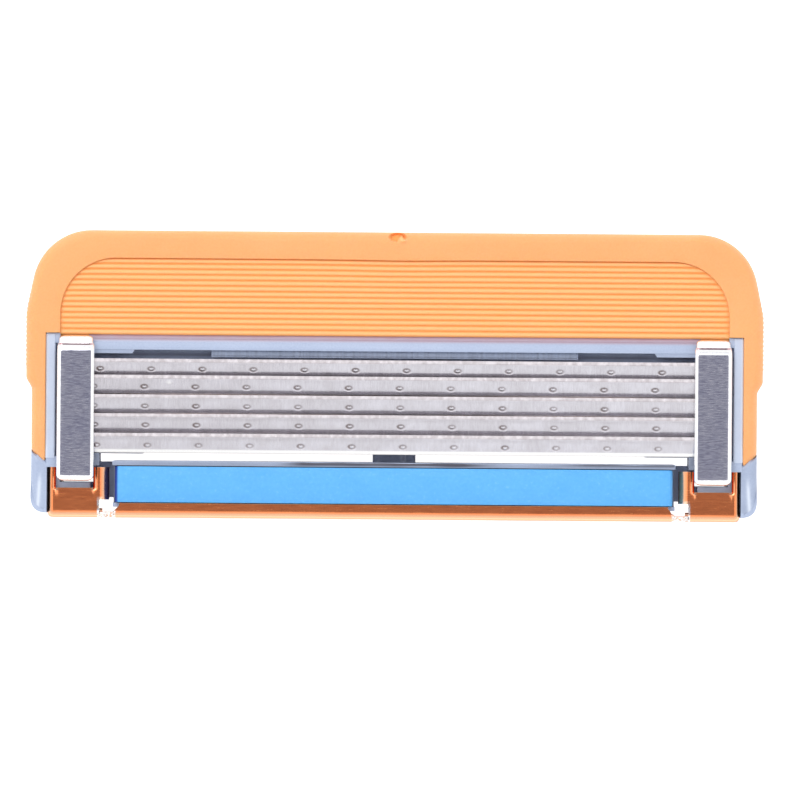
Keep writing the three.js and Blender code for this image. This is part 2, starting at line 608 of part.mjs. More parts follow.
function guardGeometry() {
  const bevel = {
    depth: GUARD_TOP_Z - GUARD_BOTTOM_Z - 2 * RIM_BEVEL,
    bevelSize: RIM_BEVEL,
    bevelOffset: -RIM_BEVEL,
    bevelThickness: RIM_BEVEL,
    bevelSegments: 3,
    curveSegments: 10,
  };
  const body = new THREE.ExtrudeGeometry(guardShape(), bevel).translate(0, 0, GUARD_BOTTOM_Z + RIM_BEVEL);
  const finHalf = FIELD_HALF_WIDTH + 2 * OVERLAP;
  const finBar = barAlongX(finSection(), -finHalf, finHalf);
  const fieldPlate = plate(fieldShape(STAGGER), FIELD_FLOOR_Z - 2 * FIN_BASE, ABOVE_Z);
  const fins = toSolid(finBar).intersect(toSolid(fieldPlate));
  const field = plate(fieldShape(0), FIELD_FLOOR_Z, ABOVE_Z);
  const deckRoom = plate(deckShape(-FIT_GAP), GUARD_BOTTOM_Z - 1, DECK_Z + DECK_THICKNESS + FIT_GAP);
  const wallX = WALL_OUTER_X + FIT_GAP;
  const windowRoom = block(-wallX, wallX, CAP_REAR_Y, BAR_FRONT_Y + FIT_GAP, BELOW_Z, ABOVE_Z);
  const finned = toSolid(body).subtract(toSolid(field)).add(fins);
  return toGeometry(finned.subtract(toSolid(deckRoom)).subtract(toSolid(windowRoom)));
}

// ---- Lubricating strip ----

function lubricatingStripGeometry() {
  const section = new THREE.Shape();
  section.moveTo(LUBE_REAR_Y, LUBE_BOTTOM_Z);
  section.lineTo(LUBE_FRONT_Y, LUBE_BOTTOM_Z);
  section.lineTo(LUBE_FRONT_Y, LUBE_TOP_Z - LUBE_CROWN);
  section.quadraticCurveTo(
    (LUBE_FRONT_Y + LUBE_REAR_Y) / 2, LUBE_TOP_Z + LUBE_CROWN, LUBE_REAR_Y, LUBE_TOP_Z - LUBE_CROWN);
  return barAlongX(section, -LUBE_HALF_WIDTH, LUBE_HALF_WIDTH, 5);
}

// ---- Clips ----

// A plate over the blade ends, with a leg down each hole that is folded under the housing.
function clipGeometry() {
  const topZ = SHAVE_Z + FIT_GAP + CLIP_THICKNESS;
  const foldZ = HOUSING_BOTTOM_Z - CLIP_FOLD_GAP;
  const t = CLIP_THICKNESS;
  const top = roundedRectangle(-CLIP_WIDTH / 2, CLIP_WIDTH / 2, CLIP_REAR_Y, CLIP_FRONT_Y, CLIP_CORNER);
  const front = CLIP_FRONT_Y - CLIP_LEG_INSET;
  const rear = CLIP_REAR_Y + CLIP_LEG_INSET;
  const legs = shapeOf([
    [rear + CLIP_FOLD, foldZ - t],
    [rear, foldZ - t],
    [rear, topZ - t / 2],
    [front, topZ - t / 2],
    [front, foldZ - t],
    [front - CLIP_FOLD, foldZ - t],
    [front - CLIP_FOLD, foldZ],
    [front - t, foldZ],
    [front - t, topZ - t + STAGGER],
    [rear + t, topZ - t + STAGGER],
    [rear + t, foldZ],
    [rear + CLIP_FOLD, foldZ],
  ]);
  const half = CLIP_LEG_WIDTH / 2;
  return combine([plate(top, topZ - t, topZ, 4), barAlongX(legs, -half, half)]);
}

// ---- Trimmer ----

// Rear wall with its top bent forward to frontY, as a section in Y and Z.
function bentWallSection(frontY, bottomZ) {
  const r = BEND_RADIUS;
  const inner = r - SHEET;
  const shape = new THREE.Shape();
  shape.moveTo(REAR_Y, bottomZ);
  shape.lineTo(REAR_Y + SHEET, bottomZ);
  shape.lineTo(REAR_Y + SHEET, CARRIER_TOP_Z - r);
  shape.absarc(REAR_Y + r, CARRIER_TOP_Z - r, inner, Math.PI, Math.PI / 2, true);
  shape.lineTo(frontY, CARRIER_TOP_Z - SHEET);
  shape.lineTo(frontY, CARRIER_TOP_Z);
  shape.absarc(REAR_Y + r, CARRIER_TOP_Z - r, r, Math.PI / 2, Math.PI);
  return shape;
}

// One end of the carrier: the slotted top tab, its rolled inner lip and the lower tab.
function carrierEnd(side) {
  const inner = side * TAB_INNER_X;
  const outer = side * CARRIER_HALF_WIDTH;
  const x0 = Math.min(inner, outer);
  const x1 = Math.max(inner, outer);
  const lipX = side * LIP_INNER_X;
  const topZ = CARRIER_TOP_Z;
  return [
    barAlongX(bentWallSection(TAB_FRONT_Y, CARRIER_BOTTOM_Z), x0, x1, 6),
    block(lipX, side * (TAB_INNER_X + OVERLAP), TAB_FRONT_Y, LIP_REAR_Y, topZ - SHEET, topZ),
    block(lipX, side * (LIP_INNER_X + SHEET), TAB_FRONT_Y, LIP_WALL_REAR_Y, LIP_BOTTOM_Z, topZ - OVERLAP),
    block(inner, outer, REAR_Y, LOWER_TAB_FRONT_Y, CARRIER_BOTTOM_Z, CARRIER_BOTTOM_Z + SHEET - STAGGER),
  ];
}

function carrierEndCuts(side) {
  const slotInner = side * TAB_SLOT_INNER_X;
  const slotOuter = side * TAB_SLOT_OUTER_X;
  const slot = roundedRectangle(Math.min(slotInner, slotOuter), Math.max(slotInner, slotOuter),
    TAB_SLOT_REAR_Y, TAB_FRONT_Y + 1, TAB_SLOT_CORNER);
  const holeHalf = CLIP_LEG_WIDTH / 2 + CLIP_HOLE_CLEARANCE;
  const holeRearY = CLIP_HOLES_Y[1][0] - CLIP_THICKNESS;
  return [
    plate(slot, CARRIER_TOP_Z - 1, ABOVE_Z, 4),
    block(side * (CLIP_X - holeHalf), side * (CLIP_X + holeHalf),
      holeRearY, LOWER_TAB_FRONT_Y + 1, BELOW_Z, CARRIER_BOTTOM_Z + 1),
  ];
}

function trimmerCarrierGeometry() {
  const end = FLANGE_HALF_WIDTH;
  const lower = CARRIER_BOTTOM_Z + SHEET;
  const parts = [
    barAlongX(bentWallSection(FLANGE_FRONT_Y, CARRIER_BOTTOM_Z), -end, end, 6),
    block(-CARRIER_HALF_WIDTH, CARRIER_HALF_WIDTH, REAR_Y, REAR_Y + SHEET, CARRIER_BOTTOM_Z, WALL_UPPER_Z),
    block(-LOWER_FLANGE_HALF_WIDTH, LOWER_FLANGE_HALF_WIDTH,
      REAR_Y, LOWER_FLANGE_FRONT_Y, CARRIER_BOTTOM_Z, lower),
    ...carrierEnd(-1),
    ...carrierEnd(1),
  ];
  const trimWindow = block(-TRIM_WINDOW_HALF_WIDTH, TRIM_WINDOW_HALF_WIDTH,
    REAR_Y - 1, REAR_Y + SHEET + OVERLAP, TRIM_WINDOW_BOTTOM_Z, TRIM_WINDOW_TOP_Z);
  const combSlots = [];
  const combCount = Math.floor((2 * TRIM_WINDOW_HALF_WIDTH) / COMB_PITCH);
  for (let i = 0; i < combCount; i += 1) {
    const x = (i - (combCount - 1) / 2) * COMB_PITCH;
    combSlots.push(block(x - COMB_SLOT_HALF_WIDTH, x + COMB_SLOT_HALF_WIDTH,
      REAR_Y - 1, COMB_SLOT_FRONT_Y, BELOW_Z, TRIM_WINDOW_BOTTOM_Z + OVERLAP));
  }
  return combine(parts, [trimWindow, ...combSlots, ...carrierEndCuts(-1), ...carrierEndCuts(1)]);
}

// The trimming edge points down into the carrier's window.
function trimmerBladeGeometry() {
  const rear = REAR_Y + SHEET + FIT_GAP;
  const front = rear + TRIM_BLADE_THICKNESS;
  const bevelZ = TRIM_BLADE_EDGE_Z + TRIM_BLADE_BEVEL;
  const section = shapeOf([
    [(rear + front) / 2, TRIM_BLADE_EDGE_Z],
    [front, bevelZ],
    [front, TRIM_BLADE_TOP_Z],
    [rear, TRIM_BLADE_TOP_Z],
    [rear, bevelZ],
  ]);
  return barAlongX(section, -TRIM_BLADE_HALF_WIDTH, TRIM_BLADE_HALF_WIDTH);
}

// ---- Connecting member ----

// Each arm rises from the cross bar to a hinge pin held between two ears of the housing.
function memberArm(side) {
  const profile = new THREE.Shape();
  profile.moveTo(CROSS_BAR_REAR_Y, CROSS_BAR_Z[0]);
  profile.lineTo(ARM_FOOT[0], ARM_FOOT[1]);
  profile.absarc(PIVOT_Y, PIVOT_Z, ARM_RADIUS, -ARM_HEAD_START, Math.PI + ARM_HEAD_END);
  profile.lineTo(CROSS_BAR_REAR_Y, CROSS_BAR_Z[1]);
  const x0 = side * ARM_X - ARM_WIDTH / 2;
  const pinHalf = ARM_WIDTH / 2 + EAR_GAP + EAR_WIDTH + OVERLAP;
  return [
    barAlongX(profile, x0, x0 + ARM_WIDTH),
    rodAlongX(PIN_RADIUS, side * ARM_X - pinHalf, side * ARM_X + pinHalf, PIVOT_Y, PIVOT_Z),
  ];
}

function connectingMemberGeometry() {
  const innerX = SOCKET_HALF_WIDTH - SOCKET_SIDE_WALL;
  const outer = roundedRectangle(
    -SOCKET_HALF_WIDTH, SOCKET_HALF_WIDTH, SOCKET_REAR_Y, SOCKET_FRONT_Y, SOCKET_CORNER);
  const crossHalf = ARM_X + ARM_WIDTH / 2;
  const parts = [
    plate(outer, 0, SOCKET_HEIGHT, 5),
    block(-crossHalf, crossHalf, CROSS_BAR_REAR_Y, SOCKET_FRONT_Y, ...CROSS_BAR_Z),
    ...memberArm(-1),
    ...memberArm(1),
  ];
  const roofZ = SOCKET_HEIGHT - SOCKET_ROOF;
  const plungerWindow = roundedRectangle(
    -PLUNGER_HALF_WIDTH, PLUNGER_HALF_WIDTH, PLUNGER_Y[0], PLUNGER_Y[1], PLUNGER_CORNER);
  const cuts = [
    block(-innerX, innerX, SOCKET_REAR_Y - 1, SOCKET_FRONT_Y - SOCKET_FRONT_WALL, SOCKET_FLOOR, roofZ),
    plate(plungerWindow, roofZ - 1, SOCKET_HEIGHT + 1, 5),
    block(-SOCKET_HALF_WIDTH - 1, SOCKET_HALF_WIDTH + 1, ...LATCH_Y, ...LATCH_Z),
  ];
  return combine(parts, cuts);
}

// ---- Assembly ----

function addMesh(parent, name, geometry, material) {
  const mesh = new THREE.Mesh(geometry, material);
  mesh.name = name;
  parent.add(mesh);
  return mesh;
}

const cartridge = new THREE.Group();
addMesh(cartridge, 'connecting_member', connectingMemberGeometry(), memberPlastic);

const bladeUnit = new THREE.Group();
cartridge.add(bladeUnit);
addMesh(bladeUnit, 'housing', housingGeometry(), housingPlastic);
addMesh(bladeUnit, 'guard_elastomer', guardGeometry(), guardRubber);
addMesh(bladeUnit, 'lubricating_strip', lubricatingStripGeometry(), lubricant);
addMesh(bladeUnit, 'trimmer_carrier', trimmerCarrierGeometry(), trimmerCopper);
addMesh(bladeUnit, 'trimmer_blade', trimmerBladeGeometry(), bladeSteel);
addMesh(bladeUnit, 'clip_left', clipGeometry(), clipAluminium).position.x = -CLIP_X;
addMesh(bladeUnit, 'clip_right', clipGeometry(), clipAluminium).position.x = CLIP_X;

for (let i = 0; i < BLADE_COUNT; i += 1) {
  const blade = new THREE.Group();
  blade.position.set(0, edgeY(i), SHAVE_Z);
  bladeUnit.add(blade);
  addMesh(blade, `blade_${i + 1}_strip`, bladeStripGeometry(), bladeSteel).rotation.x = BLADE_TILT;
  addMesh(blade, `blade_${i + 1}_support`, bladeSupportGeometry(), supportSteel);

  const fingerY = legY(i);
  const left = addMesh(bladeUnit, `spring_finger_${i + 1}_left`, springFingerGeometry(-1), housingPlastic);
  const right = addMesh(bladeUnit, `spring_finger_${i + 1}_right`, springFingerGeometry(1), housingPlastic);
  left.position.y = fingerY;
  right.position.y = fingerY;
}

export default cartridge;
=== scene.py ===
"""The looks of a five-blade razor cartridge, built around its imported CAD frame.

Lengths are written in millimetres and turned into metres when a mesh is made. X runs along the
blades, +Y points to the rubber guard, and the shaving face looks up.
"""

import math
import random

import bmesh
import bpy
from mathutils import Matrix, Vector, noise


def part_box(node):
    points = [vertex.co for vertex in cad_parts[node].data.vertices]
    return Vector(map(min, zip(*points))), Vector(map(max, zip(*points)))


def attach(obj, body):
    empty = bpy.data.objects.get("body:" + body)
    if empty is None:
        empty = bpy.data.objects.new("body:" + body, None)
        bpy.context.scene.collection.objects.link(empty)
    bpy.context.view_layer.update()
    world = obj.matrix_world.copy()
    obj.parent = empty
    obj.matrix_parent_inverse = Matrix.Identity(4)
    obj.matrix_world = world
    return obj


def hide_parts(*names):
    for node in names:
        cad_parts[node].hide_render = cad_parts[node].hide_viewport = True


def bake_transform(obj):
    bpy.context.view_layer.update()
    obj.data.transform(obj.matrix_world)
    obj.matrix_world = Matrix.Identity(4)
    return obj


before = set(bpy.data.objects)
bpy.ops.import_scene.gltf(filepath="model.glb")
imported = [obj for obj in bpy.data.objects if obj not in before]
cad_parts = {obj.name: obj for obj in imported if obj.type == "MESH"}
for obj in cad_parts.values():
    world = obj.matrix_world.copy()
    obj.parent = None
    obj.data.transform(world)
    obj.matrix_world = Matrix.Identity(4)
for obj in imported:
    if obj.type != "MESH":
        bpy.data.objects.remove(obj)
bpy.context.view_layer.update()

MM = 0.001
UNIT = "blade_unit"
SIDES = ((-1, "left"), (1, "right"))


def box_mm(node):
    low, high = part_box(node)
    return low / MM, high / MM


# ---- Places taken from the frame ----

GUARD_LOW, GUARD_HIGH = box_mm("guard_elastomer")
LUBE_LOW, LUBE_HIGH = box_mm("lubricating_strip")
CARRIER_LOW, CARRIER_HIGH = box_mm("trimmer_carrier")
CLIP_LOW, CLIP_HIGH = box_mm("clip_right")
BLADE_COUNT = sum(name.startswith("blade_") and name.endswith("_strip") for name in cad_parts)

# ---- Mesh helpers ----

CORNER_ANGLE = math.radians(35)  # edges bent by more than this are rounded over


def quarter_turn(steps):
    """Angles from 0 to 90 degrees in equal steps."""
    return [math.pi / 2 * i / steps for i in range(steps + 1)]


def thinned(values, gap):
    """The values in order, without those that lie within gap of the one kept before them."""
    values = sorted(values)
    kept = [values[0]]
    for value in values[1:]:
        if value - kept[-1] > gap:
            kept.append(value)
    return kept


def show(name, mesh, material, sharp):
    """A smooth-shaded object of the mesh; edges bent by more than sharp degrees stay crisp."""
    mesh.shade_smooth()
    mesh.set_sharp_from_angle(angle=math.radians(sharp))
    mesh.materials.clear()
    mesh.materials.append(material)
    piece = bpy.data.objects.new(name, mesh)
    bpy.context.scene.collection.objects.link(piece)
    return piece


def add_piece(name, points, faces, material, sharp=35.0, weld=True):
    """A new object from points in millimetres, with its faces turned outwards."""
    mesh = bpy.data.meshes.new(name)
    mesh.from_pydata([Vector(point) * MM for point in points], [], faces)
    shell = bmesh.new()
    shell.from_mesh(mesh)
    if weld:
        bmesh.ops.remove_doubles(shell, verts=shell.verts, dist=0.0005 * MM)
    bmesh.ops.recalc_face_normals(shell, faces=shell.faces)
    shell.to_mesh(mesh)
    shell.free()
    return show(name, mesh, material, sharp)


def loft(rings):
    """Points and faces of a skin over closed rings of points, capped at both ends."""
    count = len(rings[0])
    points = [point for ring in rings for point in ring]
    faces = []
    for i in range(len(rings) - 1):
        for j in range(count):
            k = (j + 1) % count
            faces.append((i * count + j, i * count + k, (i + 1) * count + k, (i + 1) * count + j))
    last = (len(rings) - 1) * count
    faces.append(tuple(reversed(range(count))))
    faces.append(tuple(range(last, last + count)))
    return points, faces


def skin_of_grid(upper, lower):
    """Points and faces of a closed slab between two grids of points of the same size."""
    rows = len(upper)
    columns = len(upper[0])
    points = [point for grid in (upper, lower) for row in grid for point in row]
    base = rows * columns
    faces = []
    for i in range(rows - 1):
        for j in range(columns - 1):
            a = i * columns + j
            faces.append((a, a + 1, a + columns + 1, a + columns))
            faces.append((base + a, base + a + columns, base + a + columns + 1, base + a + 1))
    rim = list(range(columns))
    rim += [i * columns + columns - 1 for i in range(1, rows)]
    rim += [(rows - 1) * columns + j for j in range(columns - 2, -1, -1)]
    rim += [i * columns for i in range(rows - 2, 0, -1)]
    for a, b in zip(rim, rim[1:] + rim[:1]):
        faces.append((a, base + a, base + b, b))
    return points, faces


def slab_under(rows, columns, place, bottom):
    """Points and faces of a slab from the points place(row, column) down to a level bottom."""
    upper = [[place(row, column) for column in columns] for row in rows]
    return skin_of_grid(upper, [[(*point[:2], bottom) for point in line] for line in upper])


def round_over(shell, edges, offset, segments):
    bmesh.ops.bevel(
        shell, geom=edges, offset=offset * MM, offset_type="OFFSET", segments=segments,
        profile=0.5, affect="EDGES", clamp_overlap=True)


def refined_copy(name, node, edge, material, segments=2, soft=None, soft_edge=0.0):
    """The CAD node's own shape, welded, with its sharp edges rounded over by edge millimetres.

    Edges whose two ends both pass the test soft are rounded more, by soft_edge.
    """
    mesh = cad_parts[node].data.copy()
    mesh.name = name
    shell = bmesh.new()
    shell.from_mesh(mesh)
    bmesh.ops.remove_doubles(shell, verts=shell.verts, dist=0.002 * MM)
    bmesh.ops.dissolve_limit(
        shell, angle_limit=math.radians(1.0), verts=shell.verts, edges=shell.edges)
    if soft:
        round_over(shell, [e for e in shell.edges if all(soft(v.co / MM) for v in e.verts)
                           and e.calc_face_angle(0.0) > CORNER_ANGLE], soft_edge, 6)
    round_over(shell, [e for e in shell.edges if e.is_manifold
                       and e.calc_face_angle(0.0) > CORNER_ANGLE], edge, segments)
    bmesh.ops.recalc_face_normals(shell, faces=shell.faces)
    shell.to_mesh(mesh)
    shell.free()
    return show(name, mesh, material, 40)


def paint(piece, name, value_at):
    """Gives each vertex a value for its material, from its place in millimetres."""
    layer = piece.data.attributes.new(name, "FLOAT", "POINT")
    for vertex, item in zip(piece.data.vertices, layer.data):
        item.value = value_at(vertex.co / MM)


def finish_piece(piece, body, slot, *nodes):
    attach(piece, body)
    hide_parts(*nodes)


def smoothstep(low, high, value):
    t = min(1.0, max(0.0, (value - low) / (high - low)))
    return t * t * (3 - 2 * t)


def spread(start, end, step):
    """Evenly spaced values from start to end, about step apart, with both ends."""
    count = max(1, round(abs(end - start) / step))
    return [start + (end - start) * i / count for i in range(count + 1)]


def gauss(distance, width):
    return math.exp(-(distance / width) ** 2)


def ripple(x, y, seed):
    """Smooth noise between about -1 and 1."""
    return noise.noise(Vector((x, y, seed)))


# ---- Materials ----


class Finish:
    """A node material with texture coordinates in millimetres."""

    def __init__(self, name, **sockets):
        self.material = bpy.data.materials.new(name)
        self.material.use_nodes = True
        self.tree = self.material.node_tree
        self.shader = self.tree.nodes["Principled BSDF"]
        for socket, value in sockets.items():
            self.shader.inputs[socket.replace("_", " ")].default_value = value
        place = self.tree.nodes.new("ShaderNodeTexCoord")
        self.place = self.stretched(place.outputs["Object"], (1000, 1000, 1000))

    def stretched(self, vector, scale):
        node = self.tree.nodes.new("ShaderNodeMapping")
        node.inputs["Scale"].default_value = scale
        self.tree.links.new(vector, node.inputs["Vector"])
        return node.outputs["Vector"]

    def grain(self, scale, detail=3.0, stretch=None, roughness=0.55, distortion=0.0):
        """Noise whose features are about 1/scale millimetres across."""
        node = self.tree.nodes.new("ShaderNodeTexNoise")
        node.inputs["Scale"].default_value = scale
        node.inputs["Detail"].default_value = detail
        node.inputs["Roughness"].default_value = roughness
        node.inputs["Distortion"].default_value = distortion
        vector = self.stretched(self.place, stretch) if stretch else self.place
        self.tree.links.new(vector, node.inputs["Vector"])
        return node.outputs["Fac"]

    def ramp(self, fac, *stops):
        """A colour or grey that follows fac through (position, colour) stops."""
        node = self.tree.nodes.new("ShaderNodeValToRGB")
        elements = node.color_ramp.elements
        while len(elements) < len(stops):
            elements.new(0.5)
        for element, (position, colour) in zip(elements, stops):
            element.position = position
            grey = isinstance(colour, (int, float))
            element.color = (colour, colour, colour, 1) if grey else (*colour, 1)
        self.tree.links.new(fac, node.inputs["Fac"])
        return node.outputs["Color"]

    def mixed(self, fac, first, second):
        """A colour between first and second; each input is a value or another node's output."""
        node = self.tree.nodes.new("ShaderNodeMix")
        node.data_type = "RGBA"
        for index, value in ((0, fac), (6, first), (7, second)):
            if isinstance(value, bpy.types.NodeSocket):
                self.tree.links.new(value, node.inputs[index])
            elif index == 0:
                node.inputs[index].default_value = value
            else:
                node.inputs[index].default_value = (*value, 1)
        return node.outputs[2]

    def where(self, painted, base, colour):
        """The base, turning into the colour where the painted value is 1."""
        node = self.tree.nodes.new("ShaderNodeAttribute")
        node.attribute_name = painted
        return self.mixed(node.outputs["Fac"], base, colour)

    def drive(self, socket, output):
        self.tree.links.new(output, self.shader.inputs[socket])

    def roughen(self, fac, low, high):
        self.drive("Roughness", self.ramp(fac, (0.3, low), (0.7, high)))

    def bump(self, *heights):
        """Stacks (height output, strength, distance in millimetres) bumps into the normal."""
        normal = None
        for height, strength, distance in heights:
            node = self.tree.nodes.new("ShaderNodeBump")
            node.inputs["Strength"].default_value = strength
            node.inputs["Distance"].default_value = distance * MM
            self.tree.links.new(height, node.inputs["Height"])
            if normal is not None:
                self.tree.links.new(normal, node.inputs["Normal"])
            normal = node.outputs["Normal"]
        self.tree.links.new(normal, self.shader.inputs["Normal"])


def rubber_finish():
    finish = Finish("guard_rubber_finish", Specular_IOR_Level=0.35, Subsurface_Weight=0.25,
                    Subsurface_Scale=0.4 * MM, Sheen_Weight=0.08)
    finish.shader.inputs["Subsurface Radius"].default_value = (1.0, 0.4, 0.15)
    clouds = finish.ramp(finish.grain(0.22, 2.0), (0.3, (0.82, 0.365, 0.138)), (0.7, (0.86, 0.4, 0.158)))
    flecks = finish.ramp(finish.grain(9.0, 4.0), (0.3, (0.8, 0.345, 0.12)), (0.6, (0.88, 0.41, 0.17)))
    rim = finish.mixed(0.35, clouds, flecks)
    # Painted highlight on the fin crests and the gate's peak; painted shade in the fin grooves and in the
    # gate's nick.
    raised = finish.where("ridge_highlight", rim, (0.94, 0.48, 0.2))
    finish.drive("Base Color", finish.where("groove", raised, (0.86, 0.36, 0.1)))
    finish.roughen(finish.grain(4.0), 0.48, 0.62)
    finish.bump((finish.grain(14.0, 4.0), 0.25, 0.02), (finish.grain(1.2, 2.0), 0.15, 0.05))
    return finish.material


def housing_finish():
    finish = Finish("housing_plastic_finish", Specular_IOR_Level=0.5)
    clouds = finish.ramp(finish.grain(0.35), (0.3, (0.375, 0.445, 0.605)), (0.7, (0.42, 0.49, 0.65)))
    flecks = finish.ramp(finish.grain(11.0, 4.0), (0.35, (0.335, 0.405, 0.565)), (0.65, (0.45, 0.52, 0.68)))
    plain = finish.mixed(0.4, clouds, flecks)
    # Painted shade, then a painted warm reflection of the rubber with shade, then painted highlights.
    shaded = finish.where("shade", plain, (0.05, 0.05, 0.075))
    rosy = finish.where("rosy", shaded, (0.4, 0.26, 0.32))
    finish.drive("Base Color", finish.where("glow", rosy, (0.8, 0.86, 0.95)))
    finish.roughen(finish.grain(5.0), 0.34, 0.5)
    finish.bump((finish.grain(10.0, 4.0), 0.35, 0.02), (finish.grain(0.9, 2.0), 0.1, 0.05))
    return finish.material


def member_finish():
    finish = Finish("member_plastic_finish", Specular_IOR_Level=0.5)
    finish.drive("Base Color", finish.ramp(
        finish.grain(6.0, 4.0), (0.3, (0.07, 0.09, 0.13)), (0.7, (0.1, 0.125, 0.175))))
    finish.roughen(finish.grain(2.5), 0.38, 0.55)
    finish.bump((finish.grain(9.0, 4.0), 0.3, 0.03))
    return finish.material


def lubricant_finish():
    finish = Finish("lubricant_finish", Specular_IOR_Level=0.3, Subsurface_Weight=0.2,
                    Subsurface_Scale=0.3 * MM)
    finish.shader.inputs["Subsurface Radius"].default_value = (0.3, 0.6, 1.0)
    clouds = finish.ramp(finish.grain(0.8, 4.0), (0.3, (0.105, 0.4, 0.8)), (0.7, (0.128, 0.445, 0.86)))
    flecks = finish.ramp(finish.grain(5.0, 5.0, distortion=0.4),
                         (0.3, (0.09, 0.36, 0.76)), (0.62, (0.12, 0.43, 0.84)), (0.85, (0.28, 0.58, 0.92)))
    wax = finish.mixed(0.5, clouds, flecks)
    # Painted shade on the strip's left end.
    finish.drive("Base Color", finish.where("left_end_shade", wax, (0.01, 0.04, 0.3)))
    finish.roughen(finish.grain(3.0), 0.5, 0.7)
    finish.bump((finish.grain(7.0, 4.0), 0.3, 0.03), (finish.grain(1.5, 3.0), 0.25, 0.05))
    return finish.material


def blade_finish():
    finish = Finish("blade_steel_finish", Metallic=0.82, Anisotropic=0.3)
    streaks = finish.grain(2.0, 4.0, stretch=(9.0, 1.0, 1.0))
    face = finish.ramp(streaks, (0.3, (0.58, 0.56, 0.61)), (0.7, (0.7, 0.685, 0.74)))
    stains = finish.ramp(finish.grain(0.9, 3.0), (0.35, (0.55, 0.53, 0.56)), (0.65, (0.71, 0.7, 0.76)))
    steel = finish.mixed(0.4, face, stains)
    honed = finish.ramp(finish.grain(2.2, 3.0, stretch=(1.6, 1.0, 1.0)),
                        (0.36, (0.5, 0.46, 0.48)), (0.5, (0.57, 0.53, 0.555)), (0.64, (0.66, 0.62, 0.65)))
    surface = finish.where("honed", steel, honed)
    # White for a dust speck and for painted highlights; darker for weld heat discolouring, the scribe line,
    # a darker left side and painted shade at the rear edges.
    dust_and_glint = finish.where("dust_and_glint", surface, (1.0, 1.0, 1.0))
    finish.drive("Base Color", finish.where("heat_tint_and_shade", dust_and_glint, (0.17, 0.13, 0.125)))
    finish.roughen(streaks, 0.17, 0.27)
    finish.bump((finish.grain(4.0, 4.0, stretch=(8.0, 1.5, 1.0)), 0.2, 0.008))
    return finish.material


def support_finish():
    finish = Finish("support_steel_finish", Metallic=0.85)
    rolled = finish.ramp(
        finish.grain(3.0, 4.0, stretch=(3.0, 1.0, 1.0)),
        (0.3, (0.7, 0.6, 0.57)), (0.7, (0.86, 0.78, 0.76)))
    # A painted highlight on the support's bend.
    finish.drive("Base Color", finish.where("bend", rolled, (1.0, 0.99, 1.0)))
    finish.roughen(finish.grain(4.0), 0.25, 0.4)
    finish.bump((finish.grain(8.0, 3.0), 0.2, 0.01))
    return finish.material


def clip_finish():
    finish = Finish("clip_aluminium_finish", Metallic=1.0)
    brushed = finish.grain(1.6, 5.0, stretch=(1.3, 14.0, 1.0), roughness=0.75)
    patches = finish.grain(0.8, 3.0)
    tone = finish.mixed(0.35, finish.ramp(brushed, (0.4, (0.42, 0.43, 0.54)), (0.6, (1.0, 1.0, 1.0))),
                        finish.ramp(patches, (0.35, (0.68, 0.69, 0.8)), (0.65, (1.0, 1.0, 1.0))))
    # Painted highlight on the strap's rolled edges.
    bordered = finish.where("border_highlight", tone, (1.0, 1.0, 1.0))
    finish.drive("Base Color", finish.where("seam", bordered, (0.62, 0.22, 0.26)))
    finish.roughen(brushed, 0.1, 0.2)
    finish.bump((brushed, 0.5, 0.006), (finish.grain(1.0, 3.0, stretch=(3.0, 6.0, 1.0)), 0.25, 0.01))
    return finish.material


def copper_finish():
    finish = Finish("trimmer_copper_finish", Metallic=1.0)
    rolled = finish.grain(1.0, 4.0, stretch=(1.2, 12.0, 12.0), roughness=0.65)
    patches = finish.grain(0.7, 3.0)
    tone = finish.mixed(0.5, finish.ramp(rolled, (0.3, (0.78, 0.22, 0.075)), (0.7, (0.83, 0.26, 0.095))),
                        finish.ramp(patches, (0.3, (0.75, 0.21, 0.075)), (0.7, (0.85, 0.27, 0.1))))
    # Painted highlight on the bends, and a near-white painted highlight on the ripped notch edges.
    bent = finish.where("bend", tone, (0.97, 0.58, 0.36))
    torn_edge_highlight = finish.ramp(finish.grain(6.0, 4.0), (0.4, (0.8, 0.5, 0.35)), (0.5, (1.0, 0.97, 0.95)))
    finish.drive("Base Color", finish.where("torn_edge_highlight", bent, torn_edge_highlight))
    finish.roughen(rolled, 0.22, 0.28)
    finish.bump((rolled, 0.04, 0.003), (finish.grain(1.5, 2.0), 0.06, 0.015))
    return finish.material


def floor_finish():
    finish = Finish("floor_finish", Specular_IOR_Level=0.0, Roughness=0.9, Emission_Strength=0.85)
    finish.shader.inputs["Base Color"].default_value = (0.5, 0.5, 0.5, 1)
    finish.shader.inputs["Emission Color"].default_value = (1, 1, 1, 1)
    return finish.material


RUBBER = rubber_finish()
PLASTIC = housing_finish()
MEMBER = member_finish()
LUBRICANT = lubricant_finish()
STEEL = blade_finish()
SUPPORT_STEEL = support_finish()
ALUMINIUM = clip_finish()
COPPER = copper_finish()

# ---- Guard ----

ARM_INNER_X = 19.4
FIELD_X = 18.6
FIELD_REAR_Y = 2.2
FIELD_FRONT_Y = 6.45
FIELD_RADIUS = 3.1
GUARD_HALF_WIDTH = 20.2
BULGE = GUARD_HIGH.x - GUARD_HALF_WIDTH
OUTER_RADIUS = 3.3
DECK_TOP_Z = 9.26
SKIRT_WIDTH = 0.8
FIN_COUNT = 14
FIN_PITCH = (FIELD_FRONT_Y - FIELD_REAR_Y) / FIN_COUNT
FIN_TOP_Z = 10.2
FIN_DEPTH = 0.1
FLASH_Z = 9.93
ARM_TIP_OUTER_Y = -4.15
ARM_TIP_INNER_Y = -4.92
TIP_FALL = 0.14
TOOTH_PITCH = 0.26
TOOTH_HEIGHT = 0.035
EDGE_ROUND_WIDTH = 0.62
EDGE_ROUND_HEIGHT = 0.8
INNER_LIP = 0.05
NICK_X, NICK_Y = 0.12, 7.7
NICK_HALF_WIDTH, NICK_HALF_DEPTH = 0.56, 0.3
